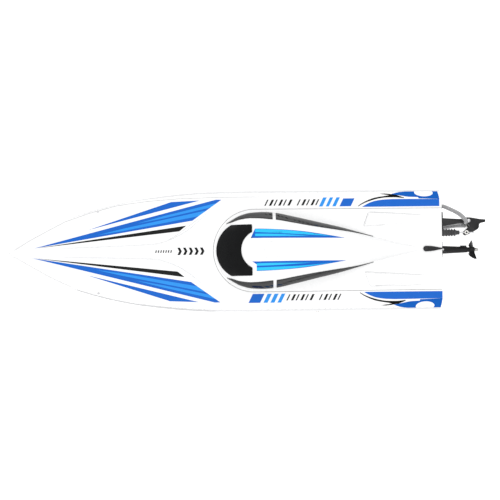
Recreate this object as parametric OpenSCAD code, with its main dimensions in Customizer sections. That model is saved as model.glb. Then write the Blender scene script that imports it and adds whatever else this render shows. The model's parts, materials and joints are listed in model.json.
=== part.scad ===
// Radio-controlled deep-V racing boat.
// Frame: +X to the bow, +Y to port, +Z up. The origin is under the middle of the
// whole boat, level with the foot of the rudder. Every length along the hull is a
// station s, measured aft from the nose, and X(s) turns it into an X coordinate.

/* [Overall] */
// Length from the nose to the trailing edge of the rudder
overall_len = 476.5; // [476:0.5:480]
// Length of the hull from the nose to the transom
hull_len = 432; // [431:0.5:433]
// Wall thickness of the hull and deck mouldings
shell_t = 1.8; // [1.4:0.1:2]
// Height of the flat ride pad on the keel above the foot of the rudder
keel_z = 22; // [21.5:0.1:22.2]

/* [Hatch] */
// Radius of the rounded front of the hatch
hatch_r = 41; // [40.5:0.1:41.2]
// Wall thickness of the hatch moulding
hatch_t = 1.6; // [1.2:0.1:1.8]
// Height of the canopy roof above the hatch panel
canopy_rise = 25.5; // [22:0.5:27]
// How proud the glazing stands over the canopy skin
glass_gap = 0.3; // [0.2:0.05:0.4]

/* [Driveline] */
// Downward angle of the propeller shaft, degrees
shaft_tilt = 7; // [6.8:0.1:7.2]
// Radius of the propeller shaft
shaft_r = 1.6; // [1.5:0.05:1.6]
// Propeller radius
prop_r = 13; // [12:0.5:14]
// Blade pitch over one turn
prop_pitch = 44; // [30:1:52]
// Motor can radius
motor_r = 14; // [13:0.5:14]
// Motor can length
motor_l = 40; // [34:1:41]

/* [Steering] */
// Chord of the rudder blade behind its pivot
rudder_aft = 16.7; // [15:0.1:16.7]
// Radius of the linkage rod
rod_r = 0.55; // [0.45:0.05:0.55]

/* [Power] */
// Battery pack length
batt_l = 72; // [60:1:74]
// Battery pack width
batt_w = 36; // [30:1:37]
// Battery pack height
batt_h = 20; // [15:1:20]

/* [Hidden] */
$fn = 48;
e = 0.01;
function X(s) = overall_len / 2 - s;

// ---- hull lines: [station, value] tables read with lookup() ----
// half-beam at the rubbing flange
beam_tab = [[0, 1.6], [2, 5], [6, 8.5], [12, 12.3], [22, 18.4], [31, 23], [40, 27.3],
  [50, 32], [60, 35.4], [71, 39.3], [83, 43], [95, 46.2], [107, 49], [119, 51.6],
  [131, 53.7], [143, 55.4], [155, 57], [167, 58.3], [180, 59.4], [191, 60.1],
  [210, 60.7], [240, 61], [330, 60.9], [432, 60.4]];
// how far the shoulder of the deck stands in from the flange edge
lip_tab = [[0, 0.4], [40, 0.6], [80, 2.1], [432, 2.1]];
// half-width at the fold between shoulder and deck top
fold_tab = [[0, 0.9], [60, 33.2], [91, 42.7], [121, 48.4], [151, 51], [191, 53.6],
  [221, 54.2], [241, 54], [291, 53.4], [341, 52.9], [371, 51.7], [421, 49.8], [432, 49.4]];
keel_tab = [[0, 30], [5, 22], [15, 15], [30, 9.5], [50, 5.5], [80, 2], [120, 0.3], [150, 0], [432, 0]];
chine_y_tab = [[0, 0.6], [10, 5], [30, 14], [60, 25], [100, 37], [150, 48], [200, 53],
  [260, 54.5], [432, 53.5]];
chine_z_tab = [[0, 54], [30, 49], [60, 46.5], [100, 44], [150, 42], [200, 40.5],
  [300, 39.5], [432, 39]];
flange_z_tab = [[0, 57], [30, 54.5], [60, 52.5], [100, 51], [150, 49.5], [200, 48.5],
  [300, 48], [432, 48]];
fold_z_tab = [[0, 59.4], [30, 60.6], [60, 62.2], [100, 64], [150, 65.4], [200, 66.4],
  [300, 67], [432, 67]];
crown_tab = [[0, 0], [40, 0.8], [100, 1.4], [200, 1.6], [300, 1], [432, 1]];
spine_w_tab = [[0, 1], [46, 4], [99, 5.6], [141, 7.1], [151, 8], [154, 9], [166, 13.6],
  [177.5, 20], [191, 30.8], [201, 39], [432, 39]];
spine_h_tab = [[0, 0], [44, 0], [60, 1.6], [90, 2.5], [170, 2.5], [192, 1.4], [203, 0], [432, 0]];
// canopy base half-width and height above the hatch panel
canopy_w_tab = [[205.8, 0], [207, 8], [209, 14.5], [212.4, 22], [217, 26.5], [222.6, 30],
  [230.7, 34.6], [242, 37.6], [253, 38.2], [263.6, 37.6], [285, 33.2], [307.2, 27.9],
  [330.7, 22.2], [350.7, 16.4], [363.9, 12.5], [396, 4.5], [408, 1.5], [412, 0]];
canopy_h_tab = [[206.5, 0], [212, 0.2], [220, 0.47], [232, 0.765], [245, 0.92],
  [260, 1], [275, 1], [300, 0.882], [330, 0.667], [364, 0.373], [396, 0.118], [410, 0]];

function beam(s) = lookup(s, beam_tab);
function foldw(s) = lookup(s, fold_tab);
function zkeel(s) = keel_z + lookup(s, keel_tab);
function zflange(s) = lookup(s, flange_z_tab);
// height of the deck or hatch skin at a point, without spine and canopy
function zdeck(s, y) = lookup(s, fold_z_tab)
  + lookup(s, crown_tab) * (1 - pow(min(1, abs(y) / foldw(s)), 2));
// height of the canopy skin; d shrinks it to give the inside face
function zcan(s, y, d) =
  let(w = lookup(s, canopy_w_tab) - d, h = canopy_rise * lookup(s, canopy_h_tab))
  w <= 0.5 || abs(y) >= w ? 0 : h * pow(1 - pow(abs(y) / w, 2.6), 0.75);
function zhatch(s, y) = zdeck(s, y) + zcan(s, y, 0);

// ---- general helpers ----
function mirror_list(l) = [for (i = [len(l) - 1:-1:0]) [-l[i][0], l[i][1]]];
function rev(l) = [for (i = [len(l) - 1:-1:0]) l[i]];
// a closed skin between an outer and an inner grid of points, open along one side
module tub(o, i) {
  n = len(o); m = len(o[0]); k = len(i[0]);
  po = [for (r = o) each r]; pi = [for (r = i) each r];
  b = n * m;
  faces = concat(
    [for (a = [0:n - 2]) for (c = [0:m - 2]) each
      [[a * m + c, a * m + c + 1, (a + 1) * m + c + 1], [a * m + c, (a + 1) * m + c + 1, (a + 1) * m + c]]],
    [for (a = [0:n - 2]) for (c = [0:k - 2]) each
      [[b + a * k + c, b + (a + 1) * k + c + 1, b + a * k + c + 1], [b + a * k + c, b + (a + 1) * k + c, b + (a + 1) * k + c + 1]]],
    [[for (c = [m - 1:-1:0]) c], [for (c = [0:m - 1]) (n - 1) * m + c]],
    [[for (c = [0:k - 1]) b + c], [for (c = [k - 1:-1:0]) b + (n - 1) * k + c]],
    [for (a = [0:n - 2]) each
      [[a * m, (a + 1) * m, b + (a + 1) * k], [a * m, b + (a + 1) * k, b + a * k],
       [a * m + m - 1, b + (a + 1) * k + k - 1, (a + 1) * m + m - 1], [a * m + m - 1, b + a * k + k - 1, b + (a + 1) * k + k - 1]]],
    [[0, b, b + k - 1], [0, b + k - 1, m - 1],
     [(n - 1) * m, (n - 1) * m + m - 1, b + (n - 1) * k + k - 1], [(n - 1) * m, b + (n - 1) * k + k - 1, b + (n - 1) * k]]);
  polyhedron(points = concat(po, pi), faces = faces, convexity = 8);
}
// a solid lofted through closed rings of equal length
module loft(r) {
  n = len(r); m = len(r[0]);
  polyhedron(points = [for (q = r) each q], faces = concat(
    [[for (c = [m - 1:-1:0]) c], [for (c = [0:m - 1]) (n - 1) * m + c]],
    [for (a = [0:n - 2]) for (c = [0:m - 1]) let(d = (c + 1) % m) each
      [[a * m + c, a * m + d, (a + 1) * m + d], [a * m + c, (a + 1) * m + d, (a + 1) * m + c]]]),
    convexity = 8);
}
function unit(v) = v / norm(v);
// a round tube along route points given as [s, y, z]; ref is never along the route
module tube(route, r, ref = [0, 0, 1], sides = 10) {
  p = [for (q = route) [X(q[0]), q[1], q[2]]];
  n = len(p);
  loft([for (i = [0:n - 1])
    let(t = unit(p[min(n - 1, i + 1)] - p[max(0, i - 1)]), u = unit(cross(ref, t)), v = cross(t, u))
    [for (a = [0:sides - 1]) p[i] + r * (cos(a * 360 / sides) * u - sin(a * 360 / sides) * v)]]);
}
module at(s, y, z) translate([X(s), y, z]) children();
// cylinder along X from station s0 back to station s1
module xcyl(s0, s1, y, z, r, r2 = -1) at(s1, y, z) rotate([0, 90, 0]) cylinder(h = s1 - s0, r1 = r2 < 0 ? r : r2, r2 = r);
// box between two stations
module sbox(s0, s1, y0, y1, z0, z1) translate([X(s1), y0, z0]) cube([s1 - s0, y1 - y0, z1 - z0]);
// the shaft line: local +Z runs forward and up along it, from the propeller centre
prop_s = 464.5; prop_z = 27;
module shaft_line() at(prop_s, 0, prop_z) rotate([0, 90 - shaft_tilt, 0]) children();
// cap or pan head screw, head at the origin, shank along -Z
module screw(head_r, head_h, shank_r, len) {
  difference() {
    cylinder(h = head_h, r = head_r);
    translate([0, 0, head_h * 0.45]) cylinder(h = head_h, r = head_r * 0.5, $fn = 6);
  }
  translate([0, 0, -len]) cylinder(h = len + e, r = shank_r);
}

// ---- hull ----
hull_st = [0, 2, 6, 12, 22, 31, 40, 50, 60, 71, 83, 95, 107, 119, 131, 143, 155, 167, 180,
  200, 230, 270, 320, 380, 432];
function hull_v(s, y) =
  let(p = pad(s), c = lookup(s, chine_y_tab), zk = zkeel(s), zc = lookup(s, chine_z_tab))
  y <= p ? zk : zk + (zc - zk) * (y - p) / (c - p);
function pad(s) = min(4, lookup(s, chine_y_tab) * 0.3);
function hull_half(s) =
  let(c = lookup(s, chine_y_tab), b = beam(s), p = pad(s), zf = zflange(s), zc = lookup(s, chine_z_tab),
    w = min(1.8, c * 0.05), y1 = p + (c - p) * 0.38, y2 = p + (c - p) * 0.7, l = lookup(s, lip_tab),
    fl = min(1.6, zf - zc - 1.2))
  [[p, zkeel(s)], [y1, hull_v(s, y1)], [y1 + w, hull_v(s, y1)], [y1 + w + 0.05, hull_v(s, y1 + w + 0.05)],
   [y2, hull_v(s, y2)], [y2 + w, hull_v(s, y2)], [y2 + w + 0.05, hull_v(s, y2 + w + 0.05)],
   [c - w, hull_v(s, c - w)], [c, hull_v(s, c - w)], [b - l, zf - fl], [b, zf - fl + 0.1], [b, zf]];
function hull_ring(s) = let(h = hull_half(s))
  [for (q = concat(mirror_list(h), [[0, zkeel(s)]], h)) [X(s), q[0], q[1]]];
function hull_in_half(s) =
  let(c = lookup(s, chine_y_tab), b = beam(s), p = pad(s), zf = zflange(s), zc = lookup(s, chine_z_tab),
    l = lookup(s, lip_tab), t = shell_t)
  [[p, zkeel(s) + t], [c * 0.5, hull_v(s, c * 0.5) + t * 1.05], [c - t * 0.9, hull_v(s, c - t * 0.9) + t * 0.95],
   [b - l - t - 1.2, zf - 1.6], [b - l - t - 1.1, zf]];
function hull_in_ring(s) = let(h = hull_in_half(s))
  [for (q = concat(mirror_list(h), [[0, zkeel(s) + shell_t]], h)) [X(s), q[0], q[1]]];
function in_st(s) = 15 + s * (hull_len - 2.2 - 15) / hull_len;
module hull_shell() color("white") difference() {
  tub([for (s = hull_st) hull_ring(s)], [for (s = hull_st) hull_in_ring(in_st(s))]);
  // shaft tunnel, lower hose and cooling outlet
  shaft_line() cylinder(h = 60, r = 3.15);
  xcyl(425, 440, -22.5, 32, 2.1);
  at(308, 50, 42.6) rotate([-90, 0, 0]) cylinder(h = 14, r = 1.85);
  // strut and rudder bracket screws
  for (y = [-6, 6]) xcyl(425, 440, y, 37.6, 0.9);
  for (y = [-33.6, -21.3]) xcyl(425, 440, y, 43.5, 0.9);
}

// ---- deck ----
deck_st = [0, 2, 6, 12, 22, 31, 40, 50, 60, 75, 91, 107, 121, 136, 151, 160, 168, 177.5, 184, 191,
  196, 201, 206, 225, 245, 270, 300, 341, 371, 400, 432];
function yb(s) = beam(s) - lookup(s, lip_tab);
function ledge(s) = min(1.3, foldw(s) * 0.1);
function deck_half(s) =
  let(f = min(foldw(s), yb(s) - 0.3 - ledge(s)), zf = zflange(s) + 0.15, zd = lookup(s, fold_z_tab),
    c = min(lookup(s, spine_w_tab), f * 0.75), h = lookup(s, spine_h_tab), q = min(0.6, c * 0.25))
  [[c - q, zdeck(s, c) + h], [c + q, zdeck(s, c + q)], [(c + q) * 0.45 + f * 0.55, zdeck(s, (c + q) * 0.45 + f * 0.55)],
   [f, zdeck(s, f)], [f + ledge(s), zd - 1.2 * ledge(s)], [yb(s), zf + 0.9], [yb(s), zf]];
function deck_ring(s) = let(h = deck_half(s))
  [for (q = concat(mirror_list(h), [[0, zdeck(s, 0) + lookup(s, spine_h_tab)]], h)) [X(s), q[0], q[1]]];
function deck_in_half(s) =
  let(t = shell_t, f = min(foldw(s), yb(s) - 0.3 - ledge(s)), zf = zflange(s) + 0.15, zd = lookup(s, fold_z_tab))
  [[f * 0.5, zdeck(s, f * 0.5) - t], [f - t, zdeck(s, f) - t],
   [f + ledge(s) - t * 1.3, zd - 1.2 * ledge(s) - t * 0.8], [yb(s) - t * 1.5, zf]];
function deck_in_ring(s) = let(h = deck_in_half(s))
  [for (q = concat(mirror_list(h), [[0, zdeck(s, 0) - shell_t]], h)) [X(s), q[0], q[1]]];
hatch_s = 245.4;
// plan of the hatch, grown by d, back to station s1
module hatch_plan(d, s1) intersection() {
  union() {
    translate([X(hatch_s), 0]) circle(r = hatch_r + d, $fn = 96);
    polygon([[X(hatch_s), hatch_r + d], [X(hatch_s), -hatch_r - d], [X(440), -hatch_r + 0.7 - d], [X(440), hatch_r - 0.7 + d]]);
  }
  translate([X(s1), -60]) square([s1 - 150, 120]);
}
module deck_shell() color("white") difference() {
  tub([for (s = deck_st) rev(deck_ring(s))], [for (s = deck_st) rev(deck_in_ring(in_st(s)))]);
  translate([0, 0, 64.6]) linear_extrude(20) hatch_plan(0.3, 436);
  // linkage and upper hose holes in the transom
  xcyl(425, 440, -16, 60.4, 3.3);
  xcyl(425, 440, -42.9, 54, 2.6);
  for (y = [-40.8, 40.8]) at(89.5, y, 50) cylinder(h = 20, r = 0.55);
}
module deck_screws() color("dimgray") for (y = [-40.8, 40.8])
  at(89.5, y, zdeck(89.5, 40.8) + 0.12) screw(1.1, 0.6, 0.5, 6);

// ---- hatch seat ----
module hatch_frame() color("whitesmoke") difference() {
  union() {
    translate([0, 0, 62.1]) linear_extrude(1.5) difference() { hatch_plan(1.9, 429.4); hatch_plan(-3.2, 426.2); }
    translate([0, 0, 58.2]) linear_extrude(6) difference() { hatch_plan(1.9, 429.4); hatch_plan(0.5, 432); }
  }
  // notch that the tongue of the hatch tips down through
  sbox(196, 212, -8, 8, 50, 70);
}
module hatch_gasket() color("dimgray") difference() {
  translate([0, 0, 63.65]) linear_extrude(1.35) difference() { hatch_plan(-0.6, 429.2); hatch_plan(-2.8, 426.6); }
  sbox(196, 212, -8, 8, 50, 70);
}

// ---- hatch cover ----
function hatch_w(s) = s < hatch_s ? sqrt(max(0.01, hatch_r * hatch_r - (hatch_s - s) * (hatch_s - s)))
  : hatch_r - 0.7 * (s - hatch_s) / (440 - hatch_s);
hatch_st = concat([for (a = [5, 12, 17, 22, 28, 34, 41, 49, 58, 68, 79]) hatch_s - hatch_r * cos(a)],
  [hatch_s, 253, 263.6, 275, 287, 300, 315, 330.7, 341, 350.7, 364, 380, 396, 408, 414, 422, 431.7]);
function can_g(s) = max(lookup(s, canopy_w_tab), hatch_w(s) * 0.2);
function hatch_ring(s) =
  let(w = hatch_w(s), g = min(can_g(s), w - 0.4), gi = max(g - 2.2, g * 0.5), t = hatch_t,
    top = [w, (w + g) / 2, g, g * 0.975, g * 0.93, g * 0.85, g * 0.72, g * 0.55, g * 0.35, g * 0.15],
    bot = [w, (w + g) / 2, gi, gi * 0.93, gi * 0.82, gi * 0.6, gi * 0.3])
  concat([for (y = top) [X(s), y, zhatch(s, y)]],
    [for (i = [len(top) - 1:-1:0]) [X(s), -top[i], zhatch(s, top[i])]],
    [for (y = bot) [X(s), -y, zdeck(s, y) + zcan(s, y, 2.2) - t]],
    [for (i = [len(bot) - 1:-1:0]) [X(s), bot[i], zdeck(s, bot[i]) + zcan(s, bot[i], 2.2) - t]]);
module hatch_cover() color("white") {
  difference() {
    union() {
      loft([for (s = hatch_st) hatch_ring(s)]);
      // roof scoop
      hull() { sbox(255.4, 256.4, -8.2, 8.2, 90, 95.4); sbox(286, 290, -7, 7, 88, 91); }
      // rear vents
      for (m = [0, 1]) mirror([0, m, 0]) hull() {
        translate([X(360), 35.9, 66.6]) cylinder(h = 4.2, r = 0.5);
        translate([X(355.6), 24, 66.8]) cylinder(h = 4.2, r = 0.5);
        translate([X(413), 27.4, 66.8]) cylinder(h = 1.4, r = 0.5);
        translate([X(413), 32.4, 66.8]) cylinder(h = 1.4, r = 0.5);
      }
    }
    at(415.6, 0, 60) cylinder(h = 12, r = 1.6);
  }
  // front tongue under the deck edge
  sbox(199.5, 213, -7, 7, 63.4, 64.6);
  sbox(206, 213, -7, 7, 64.5, 66.9);
}
// glazing laid over the canopy, from rays out of a point on its centreline
function glass_pt(s, y, d) = [X(s), y + sign(y) * d * min(1, abs(y) / 20), zhatch(s, y) + d];
module windshield() color("black") {
  r = [for (a = [-88:11:88])
    let(ri = -8.8 * cos(a) + sqrt(19.6 * 19.6 - pow(8.8 * sin(a), 2)),
      ro = min(7.1 * cos(a) + sqrt(28.1 * 28.1 - pow(7.1 * sin(a), 2)), 25 / max(0.01, abs(sin(a)))),
      k = [for (f = [0, 0.25, 0.5, 0.75, 1]) let(q = ri + (ro - ri) * f) [243 - q * cos(a), q * sin(a)]])
    concat([for (q = k) glass_pt(q[0], q[1], glass_gap)],
      [for (i = [len(k) - 1:-1:0]) glass_pt(k[i][0], k[i][1], glass_gap + 0.8)])];
  loft(r);
}
win_in_tab = [[217, 0.985], [222.6, 0.93], [230.7, 0.88], [246, 0.833], [263.6, 0.80],
  [292, 0.797], [322.5, 0.83], [350.7, 0.945], [363.9, 0.985]];
function win_ring(s) =
  let(w = lookup(s, canopy_w_tab), a = lookup(s, win_in_tab) * w, b = 0.975 * w,
    k = [for (f = [0, 0.4, 0.75, 1]) a + (b - a) * f])
  concat([for (y = k) glass_pt(s, y, glass_gap)],
    [for (i = [3:-1:0]) glass_pt(s, k[i], glass_gap + 0.8)]);
module side_windows() color("dimgray") for (m = [0, 1]) mirror([0, m, 0]) {
  loft([for (s = [222, 226, 230.7, 238, 246, 253, 263.5]) win_ring(s)]);
  loft([for (s = [266.4, 275, 287, 300, 315, 330.7, 341, 347]) win_ring(s)]);
}

// ---- latch ----
latch_s = 415.6;
module latch_lever() color("black") difference() {
  union() {
    at(latch_s, 0, 68.15) cylinder(h = 1.9, r = 2.7);
    translate([0, 0, 68.15]) linear_extrude(1.5)
      polygon([[X(latch_s), 2.65], [X(424), 2.1], [X(431.4), 0.35], [X(431.4), -0.35], [X(424), -2.1], [X(latch_s), -2.65]]);
  }
  at(latch_s, 0, 60) cylinder(h = 20, r = 1.05);
}
module latch_screw() color("silver") at(latch_s, 0, 70.1) screw(1.7, 0.8, 1, 10.5);
module latch_cam() color("black") difference() {
  union() {
    at(latch_s, 0, 60) cylinder(h = 5.6, r = 2.4);
    sbox(latch_s, 425.6, -1.8, 1.8, 60, 61.4);
  }
  at(latch_s, 0, 58) cylinder(h = 20, r = 1.05);
}

// ---- driveline ----
module stuffing_tube() color("goldenrod") shaft_line() difference() {
  translate([0, 0, 9]) cylinder(h = 61, r = 3);
  translate([0, 0, 8]) cylinder(h = 63, r = 2.25);
}
module front_bushing() color("tan") shaft_line() difference() {
  translate([0, 0, 60]) cylinder(h = 11.2, r = 2.25);
  translate([0, 0, 59]) cylinder(h = 14, r = shaft_r + 0.04);
}
module rear_bushing() color("tan") shaft_line() difference() {
  translate([0, 0, 2.7]) cylinder(h = 11.3, r = 2.25);
  translate([0, 0, 2]) cylinder(h = 14, r = shaft_r + 0.04);
}
module strut() color("#1c1c1e") difference() {
  union() {
    shaft_line() translate([0, 0, 2.8]) cylinder(h = 27.6, r1 = 2.85, r2 = 4.2);
    // foot on the transom and the fin above the barrel
    sbox(432.05, 434.4, -9.5, 9.5, 26.2, 41);
    hull() { sbox(434, 435, -2, 2, 31, 40); sbox(450, 452, -1.4, 1.4, 28.8, 31.4); }
    // side boss
    hull() for (s = [456, 459.4]) at(s, -1.2, 27.8) rotate([90, 0, 0]) cylinder(h = 3, r = 1.6);
  }
  shaft_line() { translate([0, 0, -2]) cylinder(h = 11, r = 2.25); translate([0, 0, 8.9]) cylinder(h = 30, r = 3); }
  for (y = [-6, 6]) xcyl(425, 440, y, 37.6, 0.9);
  at(435.8, 0, 38) cylinder(h = 5, r = 0.65);
}
module strut_screws() color("silver") {
  for (y = [-6, 6]) at(434.45, y, 37.6) rotate([0, -90, 0]) screw(1.6, 1.2, 0.85, 8);
  at(435.8, 0, 40.05) screw(0.9, 0.6, 0.6, 1);
}
module drive_shaft() color("silver") shaft_line() translate([0, 0, -8.6]) cylinder(h = 92.6, r = shaft_r);
module shaft_coupler() color("gray") shaft_line() difference() {
  translate([0, 0, 74.5]) cylinder(h = 20, r = 5.2);
  translate([0, 0, 74]) cylinder(h = 10.05, r = shaft_r);
  translate([0, 0, 84]) cylinder(h = 11, r = 1.59);
  for (z = [79, 90]) translate([-6, 0, z]) rotate([0, 90, 0]) cylinder(h = 6, r = 1.1);
}
module coupler_screws() color("#222222") shaft_line() for (z = [79, 90])
  translate([-5, 0, z]) rotate([0, 90, 0]) difference() { cylinder(h = 3.3, r = 1.08); translate([0, 0, -0.5]) cylinder(h = 1.6, r = 0.6, $fn = 6); }
module motor_shaft() color("silver") shaft_line() translate([0, 0, 84.1]) cylinder(h = 23, r = 1.585);
module motor_can() color("dimgray") shaft_line() difference() {
  union() {
    translate([0, 0, 107.6]) cylinder(h = motor_l, r = motor_r);
    translate([0, 0, 104.9]) cylinder(h = 2.8, r = 4.4);
    translate([0, 0, 107.6 + motor_l - e]) cylinder(h = 1.6, r = 9);
  }
  translate([0, 0, 100]) cylinder(h = 8, r = 1.62);
  for (y = [-8, 8]) translate([0, y, 107]) cylinder(h = 4, r = 1.25);
}
module water_jacket() color("#3d66b8") shaft_line() difference() {
  union() {
    translate([0, 0, 113]) cylinder(h = 28, r = 15.5);
    for (q = [[117, -45], [136, 45]]) translate([0, 0, q[0]]) rotate([0, 0, q[1]]) rotate([0, -90, 0]) cylinder(h = 20.5, r = 1.25);
  }
  translate([0, 0, 112]) cylinder(h = 30, r = motor_r + 0.05);
}
module motor_mount() color("#30343a") shaft_line() difference() {
  translate([0, 0, 104.9]) linear_extrude(2.6)
    polygon([[15.1, -4.6], [15.1, 4.6], [11, 15.5], [-8, 15.5], [-13, 10], [-13, -10], [-8, -15.5], [11, -15.5]]);
  translate([0, 0, 100]) cylinder(h = 10, r = 4.45);
  for (y = [-8, 8]) translate([0, y, 100]) cylinder(h = 10, r = 1.3);
}
module motor_screws() color("silver") shaft_line() for (y = [-8, 8])
  translate([0, y, 104.85]) mirror([0, 0, 1]) screw(2.1, 1.6, 1.2, 5.8);
module drive_dog() color("silver") shaft_line() difference() {
  translate([0, 0, 1.05]) cylinder(h = 1.3, r = 2.35);
  translate([0, 0, 0]) cylinder(h = 4, r = shaft_r);
}
// one blade: thin sections on left-handed helices, from the straight trailing edge (te) to the swept leading edge (le)
function blade_ring(r, le, te, t) = let(k = 2 * PI / prop_pitch, m = sqrt(1 + r * r * k * k))
  [for (q = [[0, 0], [0.2, -0.4], [0.5, -0.5], [0.8, -0.4], [1, 0], [0.8, 0.4], [0.5, 0.5], [0.2, 0.4]])
    let(h = te + (le - te) * q[0], g = -(h + 4.7) * 360 / prop_pitch + q[1] * t / m / r * 180 / PI)
    [r * cos(g), r * sin(g), h + q[1] * t * r * k / m]];
module propeller() color("#202022") shaft_line() difference() {
  union() {
    translate([0, 0, -4.6]) cylinder(h = 5.55, r1 = 2.9, r2 = 3.15);
    for (a = [134, 314]) rotate([0, 0, a]) let(f = prop_r / 13)
      loft([blade_ring(2.4, 0.5, -4.1, 1.4), blade_ring(3.2, 0.8, -4.2, 1.4), blade_ring(4.2 * f, 1.5, -4.3, 1.3), blade_ring(5.2 * f, 1.2, -4.4, 1.2),
        blade_ring(7.5 * f, -0.6, -4.5, 1.1), blade_ring(10 * f, -2.4, -4.6, 1), blade_ring(12.3 * f, -3.9, -4.7, 0.8), blade_ring(prop_r, -4.3, -4.75, 0.6)]);
  }
  translate([0, 0, -10]) cylinder(h = 20, r = shaft_r);
}
module prop_nut() color("gainsboro") shaft_line() difference() {
  union() { translate([0, 0, -6.6]) cylinder(h = 1.9, r = 2.1, $fn = 6); translate([0, 0, -7.9]) cylinder(h = 1.35, r1 = 1.75, r2 = 2.05); }
  translate([0, 0, -10]) cylinder(h = 20, r = shaft_r);
}

// ---- steering ----
piv_s = 459.8; piv_y = -27.9; arm_s = 457.1; arm_y = -16;
servo_s = 385;
module rudder_bracket() color("#1c1c1e") difference() {
  union() {
    sbox(432.05, 434.3, -37, -18.6, 40, 55.4);
    hull() { sbox(434, 434.4, -31, -22.8, 42.2, 54.6); sbox(447, 449, -30, -25.4, 42.2, 54.6); }
    hull() { sbox(447, 449, -29.9, -25.6, 42.2, 54.6); at(piv_s, piv_y, 42.2) cylinder(h = 12.4, r = 2.2, $fn = 32); }
    at(piv_s, piv_y, 42.2) cylinder(h = 12.4, r = 3.2);
  }
  at(piv_s, piv_y, 30) cylinder(h = 40, r = 1.04);
  for (y = [-33.6, -21.3]) xcyl(425, 440, y, 43.5, 0.9);
}
module bracket_screws() color("silver") for (y = [-33.6, -21.3])
  at(434.35, y, 43.5) rotate([0, -90, 0]) screw(1.45, 1.2, 0.85, 8);
module rudder_blade() color("#232326") difference() {
  union() {
    // foil below the lower ear and behind the knuckle
    hull() for (z = [0, 38.8]) at(piv_s, piv_y, z) linear_extrude(z == 0 ? 0.8 : e)
      polygon([[z == 0 ? 1 : 4.6, 0], [z == 0 ? -1 : 2, z == 0 ? 1.5 : 2.1], [-5, 1.9], [-rudder_aft, 0.8],
        [-rudder_aft, -0.8], [-5, -1.9], [z == 0 ? -1 : 2, z == 0 ? -1.5 : -2.1]]);
    translate([0, 0, 38.7]) linear_extrude(19.3) polygon([[X(piv_s + 4.2), piv_y + 2], [X(piv_s + 4.2), piv_y - 2],
      [X(piv_s) - rudder_aft, piv_y - 1.2], [X(piv_s) - rudder_aft, piv_y + 1.2]]);
    at(piv_s, piv_y, 38.6) cylinder(h = 3.2, r = 4);
    sbox(piv_s, piv_s + 6, piv_y - 2, piv_y + 2, 38.6, 41.8);
    // tiller plate with the arm to the linkage and the lobe for the hose nipple
    translate([0, 0, 55]) linear_extrude(3) polygon([[X(453.4), -28], [X(453.9), -24.8], [X(455.6), -23.7], [X(459.4), -24], [X(460.5), -22.5],
      [X(457.4), -19.7], [X(454.5), -17.2], [X(454), -15.4], [X(454.5), -13.9], [X(455.8), -13.2], [X(457.4), -13.4],
      [X(462.7), -16.1], [X(465.6), -17.5], [X(468.7), -19.3], [X(470), -21.2], [X(470.3), -24.2], [X(471.4), -25.6],
      [X(476.4), -26.5], [X(476.3), -28.6], [X(461), -31.2], [X(456), -31.2]]);
    // side boss of the lower pickup
    sbox(460.8, 467.5, piv_y, -22.2, 33.2, 37.6);
  }
  at(piv_s, piv_y, 30) cylinder(h = 40, r = 1);
  at(arm_s, arm_y, 50) cylinder(h = 12, r = 1.25);
  xcyl(455, 464.5, -24.1, 35.4, 0.9);
  at(456.6, -26.1, 56) cylinder(h = 4, r = 0.9);
}
module rudder_pin() color("silver") { at(piv_s, piv_y, 36.8) cylinder(h = 21.4, r = 0.995); at(piv_s, piv_y, 58.05) cylinder(h = 0.9, r = 1.7); }
module rudder_nipples() color("silver") {
  at(456.6, -26.1, 56.3) cylinder(h = 5, r = 0.89);
  at(456.6, -26.1, 58.1) cylinder(h = 0.8, r = 1.6);
  xcyl(456.5, 463.5, -24.1, 35.4, 0.89);
  xcyl(459.8, 460.7, -24.1, 35.4, 1.6);
}
module servo_case() color("#2a4fa8") difference() {
  union() {
    sbox(379, 402, -33.9, -21.9, 36.6, 54.4);
    sbox(374.2, 406.8, -33.9, -21.9, 49.9, 51.5);
    at(servo_s, piv_y, 54.3) cylinder(h = 2, r = 5.4);
    at(servo_s, piv_y, 56.2) cylinder(h = 1.3, r = 2.4);
  }
  for (s = [376.5, 404.4]) at(s, piv_y, 48) cylinder(h = 6, r = 0.8);
}
module servo_mount() color("#30343a") for (s = [374.4, 402.3]) difference() {
  at(s + 4.3, 0, 0) rotate([90, 0, 90]) linear_extrude(4.3) polygon([[-33.9, 35.4], [-21.9, 31.2], [-21.9, 49.8], [-33.9, 49.8]]);
  at(s + 2.1, piv_y, 42) cylinder(h = 10, r = 0.75);
}
module servo_screws() color("silver") for (s = [376.5, 404.4]) at(s, piv_y, 51.55) screw(1.7, 1.2, 0.7, 6);
module servo_horn() color("white") difference() {
  union() {
    at(servo_s, piv_y, 57.6) cylinder(h = 2.1, r = 3.5);
    translate([0, 0, 57.9]) linear_extrude(1.6) polygon([[X(servo_s) - 2.6, piv_y], [X(servo_s) + 2.6, piv_y], [X(servo_s) + 4.4, -15.6], [X(servo_s) + 1.1, -15.6]]);
    at(servo_s - 2.7, arm_y, 57.9) cylinder(h = 1.6, r = 1.8);
  }
  at(servo_s - 2.7, arm_y, 50) cylinder(h = 12, r = rod_r + 0.05);
  at(servo_s, piv_y, 50) cylinder(h = 12, r = 0.9);
}
module horn_screw() color("silver") at(servo_s, piv_y, 59.75) { cylinder(h = 1, r = 1.8); translate([0, 0, -2]) cylinder(h = 2.1, r = 0.88); }
module pushrod() color("silver") {
  xcyl(servo_s - 2.7, 464.6, arm_y, 60.4, rod_r);
  at(servo_s - 2.7, arm_y, 57) cylinder(h = 3.4, r = rod_r);
  at(servo_s - 2.7, arm_y, 60.4) sphere(r = rod_r);
}
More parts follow.
